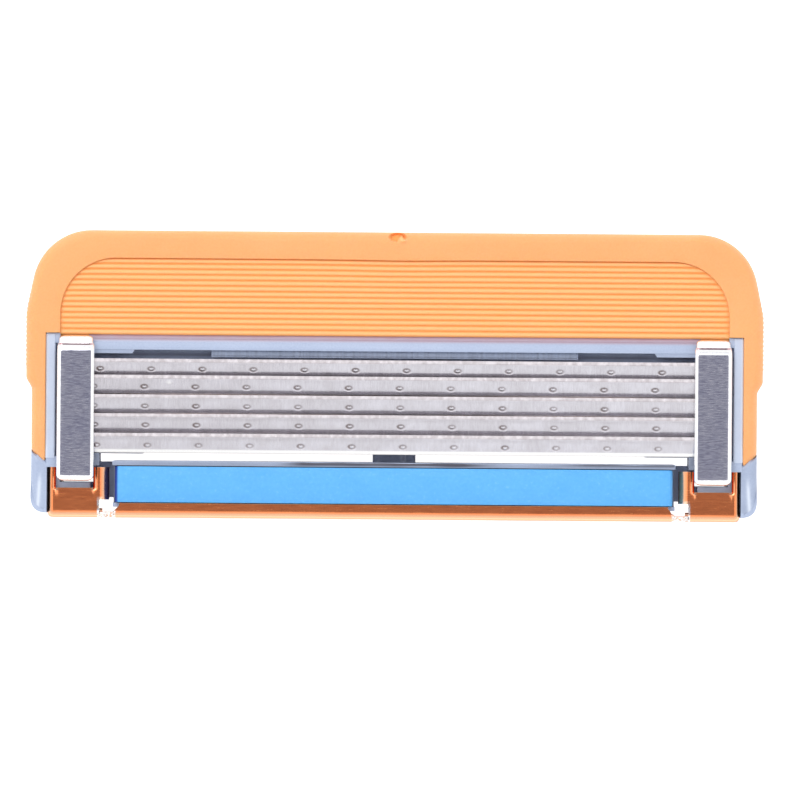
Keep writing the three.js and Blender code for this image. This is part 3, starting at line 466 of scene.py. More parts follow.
NICK_FALL = 0.42
PEAK_X, PEAK_Y = 0.33, 7.55
PEAK_HALF_WIDTH, PEAK_LENGTH = 0.26, 0.34
PEAK_RISE = 0.6
SAG = 0.04
SAG_X, SAG_WIDTH = 0.4, 2.8


def guard_side_x(y):
    """Outer half width of the guard where its sides run along Y, with the finger bulge."""
    bulge = smoothstep(5.4, 3.1, y) * smoothstep(-0.9, -0.15, y)
    wave = 0.5 + 0.5 * math.cos(2 * math.pi * y / TOOTH_PITCH)
    teeth = TOOTH_HEIGHT * wave * smoothstep(0.2, 0.5, y)
    return GUARD_HALF_WIDTH + bulge * (BULGE - TOOTH_HEIGHT + teeth)


def guard_stations():
    """(outer point, inner point) pairs from the middle of the front to the tip of the right arm."""
    front = GUARD_HIGH.y
    outer_centre = Vector((GUARD_HALF_WIDTH - OUTER_RADIUS, front - OUTER_RADIUS))
    inner_centre = Vector((FIELD_X - FIELD_RADIUS, FIELD_FRONT_Y - FIELD_RADIUS))
    reach = outer_centre.x
    stations = []
    for x in spread(0, 1.2, 0.06) + spread(1.6, reach, 0.5)[:-1]:
        inner_x = x * inner_centre.x / reach
        stations.append((Vector((x, front)), Vector((inner_x, FIELD_FRONT_Y))))
    for angle in reversed(quarter_turn(32)):
        arm = Vector((math.cos(angle), math.sin(angle)))
        outer = outer_centre + OUTER_RADIUS * arm
        if outer.y < 6:
            outer.x += guard_side_x(outer.y) - GUARD_HALF_WIDTH
        stations.append((outer, inner_centre + FIELD_RADIUS * arm))
    for y in spread(outer_centre.y, FIELD_REAR_Y + 0.3, 0.065)[1:]:
        inner_y = inner_centre.y + (y - outer_centre.y) * (inner_centre.y - FIELD_REAR_Y) / (
            outer_centre.y - FIELD_REAR_Y)
        stations.append((Vector((guard_side_x(y), y)), Vector((FIELD_X, inner_y))))
    for y, inner in ((2.3, (FIELD_X, 2.28)), (2.28, (ARM_INNER_X, 2.27))):
        stations.append((Vector((guard_side_x(y), y)), Vector(inner)))
    for y in spread(2.22, -1.2, 0.065) + spread(-1.4, ARM_TIP_OUTER_Y, 0.4):
        stations.append((Vector((guard_side_x(y), y)), Vector((ARM_INNER_X, y))))
    tip = ARM_TIP_OUTER_Y - ARM_TIP_INNER_Y
    for i in range(1, 9):
        t = i / 9
        outer = Vector((GUARD_HALF_WIDTH - 0.8 * t ** 1.5, ARM_TIP_OUTER_Y - tip * t ** 0.8))
        stations.append((outer, Vector((ARM_INNER_X, ARM_TIP_OUTER_Y - 0.95 * tip * t))))
    return stations


def guard_ring(outer, inner):
    """The guard's closed section between an outer and an inner point of its outline."""
    low = GUARD_LOW.z
    top = GUARD_HIGH.z
    width = (inner - outer).length
    along = (inner - outer) / width
    skirt = min(SKIRT_WIDTH, width)
    round_width = min(EDGE_ROUND_WIDTH, 0.75 * width)
    round_low = top - EDGE_ROUND_HEIGHT
    section = [(0.42, low), (0.14, low + 0.12), (0.03, low + 0.4), (0.0, low + 0.9)]
    for angle in quarter_turn(14):
        z = round_low + EDGE_ROUND_HEIGHT * math.sin(angle)
        section.append((round_width * (1 - math.cos(angle)), z))
    if width > 1:
        section += [(0.7, top), (0.8, top), (0.95, top + 0.005)]
    else:
        section += [(round_width + step, top) for step in (0.01, 0.02, 0.03)]
    lip = INNER_LIP
    section += [
        (width - lip, top), (width - 0.4 * lip, top - 0.2 * lip), (width, top - lip),
        (width, DECK_TOP_Z + 0.15), (width, DECK_TOP_Z), (skirt, DECK_TOP_Z), (skirt, low)]
    ring = []
    for distance, z in section:
        distance = min(distance, width)
        flat = outer + along * distance
        if z > round_low - 0.1:
            z -= TIP_FALL * smoothstep(-3.2, ARM_TIP_INNER_Y, flat.y)
            z = gate_mark(flat.x, flat.y, z)
        ring.append(Vector((flat.x, flat.y, z)))
    return ring


def field_half_width(y):
    """Half the width of the finned field, which ends in two round corners at the front."""
    centre = FIELD_FRONT_Y - FIELD_RADIUS
    if y <= centre:
        return FIELD_X
    return FIELD_X - FIELD_RADIUS + math.sqrt(max(0.0, FIELD_RADIUS ** 2 - (y - centre) ** 2))


def mould_sag(x, y):
    """How far the fins dip towards the blades beside the gate in the middle of the front."""
    return SAG * gauss(x - SAG_X, SAG_WIDTH) * smoothstep(3.8, FIELD_FRONT_Y, y)


def gate_nick(x, y):
    """The shallow nick that the moulding gate leaves in the rim."""
    across = (x - NICK_X) / NICK_HALF_WIDTH
    along = (y - NICK_Y) / NICK_HALF_DEPTH
    return smoothstep(1.0, 0.62, math.hypot(across, along))


def gate_peak(x, y):
    """The little torn peak in the nick, with its point towards the front."""
    across = abs(x - PEAK_X) / PEAK_HALF_WIDTH
    along = max(0.0, (y - PEAK_Y) / PEAK_LENGTH)
    return max(0.0, 1 - across - along) * smoothstep(PEAK_Y - 0.13, PEAK_Y - 0.05, y)


def gate_mark(x, y, z):
    """The height z of the rim with the gate's nick cut in and its peak added."""
    return z - NICK_FALL * gate_nick(x, y) + PEAK_RISE * gate_peak(x, y)


def build_guard_rim():
    right = guard_stations()
    left = [(Vector((-o.x, o.y)), Vector((-i.x, i.y))) for o, i in reversed(right[1:])]
    rings = []
    for outer, inner in left + right:
        ring = guard_ring(outer, inner)
        if abs(outer.x) < GUARD_HALF_WIDTH - OUTER_RADIUS:
            for point in ring:
                if point.z > DECK_TOP_Z + 0.2:
                    near_fins = smoothstep(FIELD_FRONT_Y + 0.9, FIELD_FRONT_Y, point.y)
                    point.y -= mould_sag(point.x, point.y) * near_fins
        rings.append(ring)
    rim = add_piece("guard_rim", *loft(rings), RUBBER, sharp=50)

    def peak(point):
        return min(1.0, 3 * gate_peak(point.x, point.y))

    # Painted shade in the gate's nick and a painted highlight on its peak.
    paint(rim, "groove", lambda point: gate_nick(point.x, point.y) * (1 - peak(point)))
    paint(rim, "ridge_highlight", peak)
    finish_piece(rim, UNIT, "guard_rubber", "guard_elastomer")


def build_guard_fins():
    """The field of fine fins, with a low flash of rubber along its rear edge."""
    fin_steps = (0.0, 0.07, 0.16, 0.3, 0.5, 0.7, 0.84, 0.93)
    rows = [FIELD_REAR_Y - 0.12, FIELD_REAR_Y - 0.07, FIELD_REAR_Y - 0.01]
    rows += [FIELD_REAR_Y + FIN_PITCH * (i + f) for i in range(FIN_COUNT) for f in fin_steps]
    rows += [FIELD_FRONT_Y, FIELD_FRONT_Y + 0.05]
    columns = spread(-1, 1, 0.03)
    columns = sorted(set(columns + [side * (1 - e) for side in (-1, 1) for e in (0.003, 0.008, 0.015)]))

    def place(y, across):
        half = field_half_width(y) + 0.05
        x = across * half
        fin = math.sin(math.pi * ((y - FIELD_REAR_Y) / FIN_PITCH % 1.0)) ** 0.9
        edge = smoothstep(0.05, 0.2, half - abs(x))
        wear = 0.02 * ripple(x * 0.6, y * 2.0, 3.0)
        z = FLASH_Z if y < FIELD_REAR_Y else FIN_TOP_Z - FIN_DEPTH * (1 - fin * edge) + wear
        return (x, y - mould_sag(x, y), z)

    skin = slab_under(rows, columns, place, DECK_TOP_Z + 0.02)
    fins = add_piece("guard_fins", *skin, RUBBER, sharp=70)

    # A painted highlight on each fin's crest and painted shade in the grooves between the fins.
    def ridge_highlight(point):
        turn = (point.y + mould_sag(point.x, point.y) - FIELD_REAR_Y) / FIN_PITCH % 1.0
        return 0.9 * smoothstep(0.35, 0.85, math.sin(math.pi * turn))

    paint(fins, "ridge_highlight", ridge_highlight)
    paint(fins, "groove", lambda point: 0.85 * (1 - ridge_highlight(point)) ** 2)
    finish_piece(fins, UNIT, "guard_rubber", "guard_elastomer")


# ---- Housing ----

WALL_CREST_INNER_X = 18.85
WALL_CREST_X = 19.41
WALL_CREST_ENDS = (2.2, -4.7)
WALL_CREST_Z = 10.18
BAR_FRONT_Z = 10.02
CORNER_X = 19.3
CORNER_REAR_Y = -7.75
CORNER_RADIUS = 0.9
CORNER_TOP_Z = 10.1
CORNER_TUCK_Y = -4.95
CORNER_TUCK = 0.7
CORNER_GLOW_X = 19.75
CORNER_ROLL = 0.35
BAR_HALF_WIDTH = 17.0
BAR_TOP_Z = 10.1
BAR_FRONT_YS = (1.98, 2.04, 2.1, 2.16, 2.21, 2.24)
BAR_CREST_FRONT_Y = 2.06
BAR_CREST_ROUNDING = 0.3
LEDGE_HALF_WIDTH = 10.15
LEDGE_Z = 9.83
LOW_LEDGE_HALF_WIDTH = 16.8
LOW_LEDGE_ENDS = (0.8, 1.36)
LOW_LEDGE_Z = 8.7
LEDGE_YS = (0.99, 1.04, 1.14, 1.24, 1.32, 1.37)
CAP_LIP_YS = (-4.82, -4.85, -4.9, -4.96, -5.02, -5.08)
CAP_LIP_Z = 10.17
STRUT_HALF_WIDTH = 1.18
STRUT_ENDS = (-3.6, -4.82)
STRUT_Z = 7.34
STRUT_RIB_X = 0.62


def slab(name, xs, ys, top, bottom, **values):
    """A moulded slab of housing plastic with its own top surface and painted values."""
    skin = slab_under(ys, xs, lambda y, x: (x, y, top(x, y)), bottom)
    piece = add_piece(name, *skin, PLASTIC, sharp=50)
    for attribute, value_at in values.items():
        paint(piece, attribute, value_at)
    finish_piece(piece, UNIT, "housing_plastic", "housing")


def on_bar_crest(point):
    """Whether a point of the housing is on the front top edge of the bar."""
    at_front = abs(point.y - BAR_CREST_FRONT_Y) < 0.01
    return at_front and abs(point.z - BAR_TOP_Z) < 0.01 and abs(point.x) < BAR_HALF_WIDTH + 0.2


def build_housing():
    """The whole moulding; its rear corners are tucked under the arm tips and have crowns of their own."""
    housing = refined_copy(
        "moulded_housing", "housing", 0.06, PLASTIC, soft=on_bar_crest, soft_edge=BAR_CREST_ROUNDING)
    for vertex in housing.data.vertices:
        x, y, z = vertex.co / MM
        if abs(x) > CORNER_X + 0.1 and y > CORNER_TUCK_Y and z > CORNER_TOP_Z - 0.3:
            vertex.co.z -= CORNER_TUCK * MM

    # Painted warm reflection of the rubber, with shade, along the bar's rounded front edge.
    def rosy(point):
        front = smoothstep(BAR_CREST_FRONT_Y - BAR_CREST_ROUNDING, BAR_CREST_FRONT_Y - 0.06, point.y)
        return 0.8 * front * (point.z > 9.7) * (point.y < 2.15) * (abs(point.x) < BAR_HALF_WIDTH + 0.05)

    def shade(point):
        shoulder = 16.3 < abs(point.x) < BAR_HALF_WIDTH + 0.05 and -5.2 < point.y < -4.3 and point.z > 9.5
        return 0.55 if shoulder else 0.0

    paint(housing, "rosy", rosy)
    paint(housing, "shade", shade)
    finish_piece(housing, UNIT, "housing_plastic", "housing")


def build_bar_front():
    """The bar's rounded front edge, painted with a warm reflection of the rubber beside it and with shade.
    """
    def top(x, y):
        return BAR_FRONT_Z - 0.05 * smoothstep(2.02, 2.24, y) + 0.008 * ripple(x * 1.3, y * 5, 4.0)

    def rosy(point):
        return 0.7 + 0.3 * smoothstep(2.0, 2.14, point.y) + 0.1 * ripple(point.x * 2, point.y * 3, 6.0)

    slab("bar_front_edge", spread(-BAR_HALF_WIDTH, BAR_HALF_WIDTH, 0.12), BAR_FRONT_YS, top,
         BAR_FRONT_Z - 0.35, rosy=rosy)


def build_wall_crest(sign, word):
    """The smooth top of an end wall, lighter towards the rubber arm."""
    def top(x, y):
        side = abs(x)
        edges = smoothstep(WALL_CREST_INNER_X + 0.05, WALL_CREST_INNER_X, side)
        edges += smoothstep(WALL_CREST_X - 0.05, WALL_CREST_X, side)
        return WALL_CREST_Z - 0.06 * edges + 0.006 * ripple(x * 2, y * 1.5, 3.0)

    def glow(point):
        side = abs(point.x)
        streak = 0.06 * ripple(point.y * 1.2, point.x * 3, 2.0)
        return 0.3 + streak + 0.3 * smoothstep(19.2, 19.4, side)

    xs = [sign * x for x in spread(WALL_CREST_INNER_X, WALL_CREST_X, 0.05)]
    slab(f"wall_crest_{word}", xs, spread(*WALL_CREST_ENDS, 0.15), top, WALL_CREST_Z - 0.5, glow=glow)


def build_ledge():
    """The ribbed ledge between the bar and the first blade."""
    def top(x, y):
        middle = smoothstep(0.99, 1.06, y) * smoothstep(1.38, 1.3, y)
        return LEDGE_Z - 0.05 * (1 - middle) + middle * (
            0.02 * ripple(x * 9.0, 0.3, 2.0) + 0.01 * ripple(x * 2.0, y * 6, 4.0))

    def shade(point):
        ribs = 0.26 + 0.2 * ripple(point.x * 9.0, 0.3, 2.0)
        return min(1.0, max(0.0, ribs + 0.3 * smoothstep(1.08, 1.0, point.y)))

    xs = spread(-LEDGE_HALF_WIDTH, LEDGE_HALF_WIDTH, 0.05)
    slab("ledge_ribs", xs, LEDGE_YS, top, LEDGE_Z - 0.3, shade=shade)


def build_low_ledge():
    """The lower ledge beyond the ribbed one, which closes the gap in front of the first blade."""
    def top(x, y):
        return LOW_LEDGE_Z + 0.2 * smoothstep(1.1, 1.25, y) + 0.01 * ripple(x * 1.5, y * 4, 6.0)

    def shade(point):
        return min(1.0, 0.1 + 0.45 * gauss(point.y - 1.1, 0.05) + 0.15 * ripple(point.x, point.y, 2.0))

    xs = spread(-LOW_LEDGE_HALF_WIDTH, LOW_LEDGE_HALF_WIDTH, 0.2)
    slab("low_ledge_step", xs, spread(*LOW_LEDGE_ENDS, 0.07), top, LOW_LEDGE_Z - 0.4, shade=shade)


def build_cap_lip():
    """The top of the lip in front of the lubricating strip, with its wavy shadowed edge."""
    def shade(point):
        x = point.x
        wedge = smoothstep(6.4, 4.2, abs(x + 0.4)) * smoothstep(
            -5.06, -4.99, point.y + 0.05 * ripple(x * 0.35, 1.0, 8.0))
        right = 0.5 * smoothstep(8.5, 11.0, x) * smoothstep(-5.02, -4.9, point.y)
        return min(1.0, 0.4 + 0.12 * ripple(x * 0.5, 2.0, 6.0) + 0.6 * wedge + right)

    def top(x, y):
        return CAP_LIP_Z - 0.04 * smoothstep(-4.88, -4.82, y) + 0.012 * ripple(x * 0.7, y * 3, 1.0)

    half = LUBE_HIGH.x + 0.12
    slab("cap_lip_crest", spread(-half, half, 0.15), CAP_LIP_YS, top, CAP_LIP_Z - 0.4, shade=shade)


def build_strut_top():
    """The strut's upper face, with a fine rib and two drawn-down sides."""
    def top(x, y):
        sides = smoothstep(STRUT_HALF_WIDTH - 0.22, STRUT_HALF_WIDTH, abs(x))
        rib = 0.05 * gauss(x - STRUT_RIB_X, 0.035)
        return STRUT_Z - 0.08 * sides + rib + 0.01 * ripple(x * 3, y * 0.6, 2.0)

    def glow(point):
        x = point.x
        lines = 0.9 * gauss(x - STRUT_RIB_X, 0.03)
        lines += 0.4 * gauss(x + 0.86, 0.09) + 0.4 * gauss(x - 0.42, 0.1)
        return min(0.9, lines + 0.6 * gauss(x - 1.17, 0.06)) * (0.6 + 0.4 * ripple(point.y * 3, x, 1.0))

    xs = spread(-STRUT_HALF_WIDTH, STRUT_HALF_WIDTH, 0.03)
    slab("strut_top", xs, spread(*STRUT_ENDS, 0.1), top, STRUT_Z - 0.3, glow=glow)


def corner_front_y(side):
    """Front boundary of a rear corner at this distance from the middle, under the arm's tip."""
    t = min(1.0, max(0.0, (GUARD_HALF_WIDTH - side) / 0.85))
    return ARM_TIP_OUTER_Y + 0.1 - 0.72 * t ** 0.75


def corner_rear_y(side):
    """Rear boundary of a rear corner, rounded towards its outer side."""
    turn = min(CORNER_RADIUS, max(0.0, side - GUARD_HALF_WIDTH + CORNER_RADIUS))
    return CORNER_REAR_Y + CORNER_RADIUS - math.sqrt(CORNER_RADIUS ** 2 - turn ** 2)


def build_corner_crown(sign, word, corner_shade):
    """The rounded top of a rear corner, which catches the light along its middle."""
    reach = GUARD_HALF_WIDTH - 0.01 - CORNER_X
    sides = [CORNER_X + reach * math.sin(angle) for angle in quarter_turn(22)]

    def place(share, side):
        front, rear = corner_front_y(side), corner_rear_y(side) + 0.01
        y = front + (rear - front) * share
        edge = min(GUARD_HALF_WIDTH - side, 0.9 * (y - rear), CORNER_ROLL)
        roll = CORNER_ROLL - math.sqrt(max(0.0, CORNER_ROLL ** 2 - (CORNER_ROLL - edge) ** 2))
        outside = smoothstep(0.45, 0.05, GUARD_HALF_WIDTH - side)
        tuck = (0.12 + 0.8 * outside) * smoothstep(front - 0.3, front, y)
        return (sign * side, y, CORNER_TOP_Z + 0.03 - roll - tuck)

    skin = slab_under([j / 24 for j in range(25)], sides, place, CORNER_TOP_Z - 0.6)
    crown = add_piece(f"corner_crown_{word}", *skin, PLASTIC, sharp=50)

    def glow(point):
        along = smoothstep(-5.3, -6.3, point.y) * smoothstep(-7.75, -7.3, point.y)
        return 0.6 * gauss(abs(point.x) - CORNER_GLOW_X + 0.06 * (point.y + 6.8), 0.1) * along

    paint(crown, "glow", glow)
    # Painted shade, heavier on the right corner than on the left.
    paint(crown, "shade", lambda point: corner_shade * (0.6 + 0.6 * ripple(point.y * 0.9, point.x * 2, 3.0)))
    finish_piece(crown, UNIT, "housing_plastic", "housing")


# ---- Blades ----

BLADE_TILT = math.radians(21.5)
STRIP_LENGTHS = (1.0, 1.09, 1.09, 1.16, 1.17)
STRIP_ABOVE_EDGE = 0.026
STRIP_BELOW_EDGE = 0.06
BEVEL_LENGTH = 0.18
BEVEL_BLEND_END = 0.4
SCRIBE_BEHIND = 0.29
SCRIBE_STRENGTH = (0.06, 0.06, 0.08, 0.24, 0.24)
EDGE_SHIFT = (-0.06, 0.08, 0.05, 0.04, 0.0)
SPECK = (1, -12.53, 0.42)
WELD_COUNT = 13
WELD_PITCH = 2.84
WELDS_BEHIND = (0.61, 0.69, 0.69, 0.68, 0.72)
MIDDLE_WELD_X = (0.67, 0.29, 0.33, 0.37, 0.49)
WELD_HALF_WIDTH, WELD_HALF_DEPTH = 0.17, 0.115
WELD_SUNK = 0.022
WELD_CROWN = 0.015
BLADE_EDGE_Z = 10.4


def weld_relief(index, x, behind, welds):
    """Height, heat discolouring and painted shine that the welds add here; each is a sunken ring round a
    small crown.
    """
    height = heat_tint_and_shade = spark = 0.0
    for centre, turn, size in welds:
        if abs(x - centre) < 0.4:
            u = (x - centre) / WELD_HALF_WIDTH
            v = (behind - WELDS_BEHIND[index]) / WELD_HALF_DEPTH
            radius = math.hypot(u, v)
            ring = gauss(radius - 1, 0.36)
            part = 0.78 + 0.22 * math.cos(math.atan2(v, u) + 2.6 + turn)
            height += WELD_CROWN * gauss(radius, 0.5) - WELD_SUNK * ring * size
            heat_tint_and_shade = max(heat_tint_and_shade, ring * part * size)
            # A painted highlight on the weld's crown.
            spark = max(spark, gauss(math.hypot(u - 0.15 - 0.3 * turn, v), 0.45) * size)
    return height, heat_tint_and_shade, spark


def strip_face(index, x, behind, ground, welds):
    """Height of the strip's face here, and how honed, darkened and whitened it is: weld discolouring, a
    scribe line, a darker left side and painted shade at the rear darken it; dust and painted highlights
    whiten it.
    """
    length = STRIP_LENGTHS[index]
    last = index == BLADE_COUNT - 1
    relief, weld, spark = weld_relief(index, x, behind, welds)
    height = STRIP_ABOVE_EDGE + 0.002 * ripple(x * 0.7, behind * 2, index) + relief
    honed = 0.5 * smoothstep(0.05, 0.0, behind - ground)
    # A scribe line across the face, and the face darker towards the left.
    scribe = behind - SCRIBE_BEHIND - 0.015 * ripple(x * 0.8, 3.0, index)
    scribe_and_left_darkening = SCRIBE_STRENGTH[index] * gauss(scribe, 0.035) + 0.11 * smoothstep(4.0, -15.0, x)
    # Painted shade towards the first blade's rear edge, which lies under the next blade; on the last blade,
    # a thin painted shadow line at its very end.
    rear = 0.0
    if index == 0:
        rear = 0.25 * smoothstep(length - 0.3, length - 0.08, behind)
    if last:
        rear = 0.45 * smoothstep(length - 0.06, length - 0.01, behind)
    speck = 0.0
    if index == SPECK[0]:
        speck = gauss(math.hypot(x - SPECK[1], behind - SPECK[2]), 0.09)
        height += 0.03 * speck
    # A painted highlight along the last blade's rear edge; with the dust speck and the painted highlights
    # on the weld crowns it whitens the steel.
    shine = smoothstep(length - 0.25, length - 0.17, behind) if last else 0.0
    dust_and_glint = max(speck, shine, 0.45 * spark * (1 - min(1.0, weld)))
    return height, (honed, min(1.0, 1.1 * weld + rear + scribe_and_left_darkening), dust_and_glint)


def build_strip(index):
    """One honed strip: ground bevel, square rear edge and a row of laser welds."""
    node = f"blade_{index + 1}_strip"
    low, high = box_mm(node)
    edge_y = high.y + EDGE_SHIFT[index]
    jitter = random.Random(40 + index)
    welds = []
    columns = set(spread(low.x, high.x, 0.12))
    for i in range(WELD_COUNT):
        centre = MIDDLE_WELD_X[index] + WELD_PITCH * (i - (WELD_COUNT - 1) / 2)
        welds.append((centre, jitter.uniform(-0.4, 0.4), jitter.uniform(0.6, 1.0)))
        columns |= {x for x in spread(centre - 0.33, centre + 0.33, 0.03) if low.x < x < high.x}
    columns = thinned(columns, 0.012)
    columns[-1] = high.x

    def place(x, behind, height):
        y = edge_y - behind * math.cos(BLADE_TILT) - height * math.sin(BLADE_TILT)
        z = BLADE_EDGE_Z - behind * math.sin(BLADE_TILT) + height * math.cos(BLADE_TILT)
        return (x, y, z)

    rows = [("bevel", share) for share in (0.0, 0.35, 0.8, 1.0)]
    rows += [("blend", share) for share in (0.04, 0.35, 0.65)]
    rows += [("face", share) for share in spread(0.41, 0.86, 0.03) + [0.9, 0.95, 1.0]]
    upper, lower, looks = [], [], []
    for kind, share in rows:
        upper_row, lower_row = [], []
        for x in columns:
            ground = BEVEL_LENGTH + 0.012 * ripple(x * 2.3, index * 7.1, 1.0)
            if kind == "bevel":
                behind = ground * share
                height = STRIP_ABOVE_EDGE * share
                look = (1.0, 0.2 if share == 1.0 else 0.0, 0.0)
            else:
                behind = share * STRIP_LENGTHS[index]
                if kind == "blend":
                    behind = ground + (BEVEL_BLEND_END - ground) * share
                height, look = strip_face(index, x, behind, ground, welds)
            looks.append(look)
            upper_row.append(place(x, behind, height))
            below = STRIP_BELOW_EDGE * min(1.0, behind / ground)
            lower_row.append(place(x, max(behind, 0.004), -below - 0.002))
        upper.append(upper_row)
        lower.append(lower_row)
    skin = skin_of_grid(upper, lower)
    strip = add_piece(f"honed_strip_{index + 1}", *skin, STEEL, sharp=40, weld=False)
    for name, values in zip(("honed", "heat_tint_and_shade", "dust_and_glint"), zip(*looks)):
        layer = strip.data.attributes.new(name, "FLOAT", "POINT")
        layer.data.foreach_set("value", values + values)
    finish_piece(strip, f"blade_{index + 1}", "blade_steel", node)


def build_support(index):
    node = f"blade_{index + 1}_support"
    support = refined_copy(f"bent_support_{index + 1}", node, 0.07, SUPPORT_STEEL, segments=4)
    knee = box_mm(node)[0].y + 0.06
    # Painted highlight along the knee's bend.
    paint(support, "bend", lambda point: gauss(point.y - knee, 0.09) * smoothstep(9.6, 9.8, point.z))
    finish_piece(support, f"blade_{index + 1}", "support_steel", node)


def build_fingers(index):
    """The blade's two spring fingers, between the housing and the blade."""
    for side, word in SIDES:
        node = f"spring_finger_{index + 1}_{word}"
        finger = refined_copy(f"flexing_finger_{index + 1}_{word}", node, 0.06, PLASTIC)
        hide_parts(node)
        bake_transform(finger)


# ---- Clips ----

CLIP_ROLL = 0.24
SEAM_BEHIND = 0.49
CLIP_THICKNESS = 0.25
LEG_HALF_WIDTH = 0.8
TAB_HALF_WIDTH = 0.95
LEG_BEND = 0.28
PLATE_BEND = 0.34


def strap_rows():
    """The whole strap's rows, with the groove where the front bend starts."""
    rear, front = CLIP_LOW.y, CLIP_HIGH.y
    low, top = CLIP_LOW.z, CLIP_HIGH.z
    leg, tab = LEG_HALF_WIDTH, TAB_HALF_WIDTH
    plate = (CLIP_HIGH.x - CLIP_LOW.x) / 2
    rows = [(rear + reach, low, leg) for reach in (1.0, 0.6, 0.3)]
    for angle in quarter_turn(4)[1:]:
        y = rear + 0.02 + LEG_BEND * (1 - math.sin(angle))
        rows.append((y, low + LEG_BEND * (1 - math.cos(angle)), leg))
    rows += [(rear + 0.02, z, leg) for z in spread(low + 0.6, top - 1.0, 1.0)]
    for angle in quarter_turn(10):
        width = leg + (plate - leg) * math.sin(angle) ** 0.5
        fall = PLATE_BEND * (1 - math.sin(angle))
        rows.append((rear + PLATE_BEND * (1 - math.cos(angle)), top - fall, width))
    rows += [(y, top, plate) for y in spread(rear + 0.6, front - 0.9, 0.35)]
    rows += [(front - back, top - fall, width) for back, fall, width in (
        (0.8, 0.005, plate), (0.72, 0.03, plate), (0.62, 0.08, plate), (0.54, 0.13, plate),
        (SEAM_BEHIND, 0.17, plate - 0.04), (0.44, 0.1, tab), (0.37, 0.12, tab))]
    for i in range(1, 9):
        angle = math.radians(25 + 65 * i / 8)
        width = leg + (tab - leg) * max(0.0, 1 - (i / 8) ** 3)
        fall = 0.13 + 0.25 * (1 - math.cos(angle))
        rows.append((front - PLATE_BEND * (1 - math.sin(angle)), top - fall, width))
    rows += [(front - 0.02, z, leg) for z in spread(top - 1.0, low + 0.6, 1.0)]
    for angle in quarter_turn(4)[1:]:
        y = front - 0.02 - LEG_BEND * (1 - math.cos(angle))
        rows.append((y, low + LEG_BEND * (1 - math.sin(angle)), leg))
    rows += [(front - reach, low, leg) for reach in (0.6, 1.0)]
    return rows


def strap_section(half):
    """(across, outward) points round the strap's cross-section, with rolled borders."""
    section = [(u * (half - CLIP_ROLL), -drop) for u, drop in ((0, 0), (0.5, 0.0), (0.8, 0.002))]
    for angle in quarter_turn(6):
        section.append((half - CLIP_ROLL * (1 - math.sin(angle)), -0.14 * (1 - math.cos(angle)) - 0.003))
    section += [(half - 0.02, -CLIP_THICKNESS * 0.8), (half - 0.1, -CLIP_THICKNESS + 0.01)]
    mirrored = [(-x, depth) for x, depth in reversed(section[1:])]
    return section + [(0, -CLIP_THICKNESS + 0.01)] + mirrored


def build_clip(side, word):
    """A strap over the blade ends with rolled borders, its legs folded under the housing."""
    centre = side * (CLIP_LOW.x + CLIP_HIGH.x) / 2
    rows = strap_rows()
    rings = []
    for i, (y, z, half) in enumerate(rows):
        before = rows[max(0, i - 1)]
        after = rows[min(len(rows) - 1, i + 1)]
        tangent = Vector((after[0] - before[0], after[1] - before[1])).normalized()
        rings.append([
            Vector((centre + x, y - tangent.y * depth, z + tangent.x * depth))
            for x, depth in strap_section(half)])
    clip = add_piece(f"rolled_clip_{word}", *loft(rings), ALUMINIUM, sharp=55)
    plate = (CLIP_HIGH.x - CLIP_LOW.x) / 2

    # Painted highlight on the rolled edges at the sides and both ends of the plate.
    def border_highlight(point):
        sides = smoothstep(plate - CLIP_ROLL - 0.02, plate - CLIP_ROLL + 0.06, abs(point.x - centre))
        rear = smoothstep(CLIP_LOW.y + 0.38, CLIP_LOW.y + 0.3, point.y)
        front = smoothstep(CLIP_HIGH.y - 0.74, CLIP_HIGH.y - 0.66, point.y)
        return max(sides, rear, front)

    paint(clip, "border_highlight", border_highlight)
    paint(clip, "seam", lambda point: gauss(point.y - CLIP_HIGH.y + SEAM_BEHIND, 0.02))
    finish_piece(clip, UNIT, "clip_aluminium", f"clip_{word}")


# ---- Lubricating strip ----


def build_lubricating_strip():
    """The waxy block in the cap, crowned along its middle and rounded at its ends."""
    low, high = LUBE_LOW, LUBE_HIGH
    ends = (0.0, 0.04, 0.1, 0.2)
    xs = [low.x + end for end in ends] + spread(low.x + 0.4, high.x - 0.4, 0.25)
    xs += [high.x - end for end in reversed(ends)]

    def place(y, x):
        t = (y - low.y) / (high.y - low.y)
        crown = high.z - 0.02 - 0.22 * abs(2 * t - 1) ** 3.0
        end = min(x - low.x, high.x - x)
        rounding = 0.25 * (1 - min(1.0, end / 0.2)) ** 2
        dents = 0.012 * ripple(x * 1.1, y * 1.3, 9.0) + 0.006 * ripple(x * 4.0, y * 4.0, 2.0)
        return (x, y, crown - rounding + dents)

    skin = slab_under(spread(low.y, high.y, 0.1), xs, place, low.z)
    strip = add_piece("waxy_strip", *skin, LUBRICANT, sharp=50)
    # Painted shade on the left end.
    paint(strip, "left_end_shade", lambda point: smoothstep(low.x + 0.2, low.x + 0.08, point.x))
    finish_piece(strip, UNIT, "lubricant", "lubricating_strip")


# ---- Trimmer carrier ----

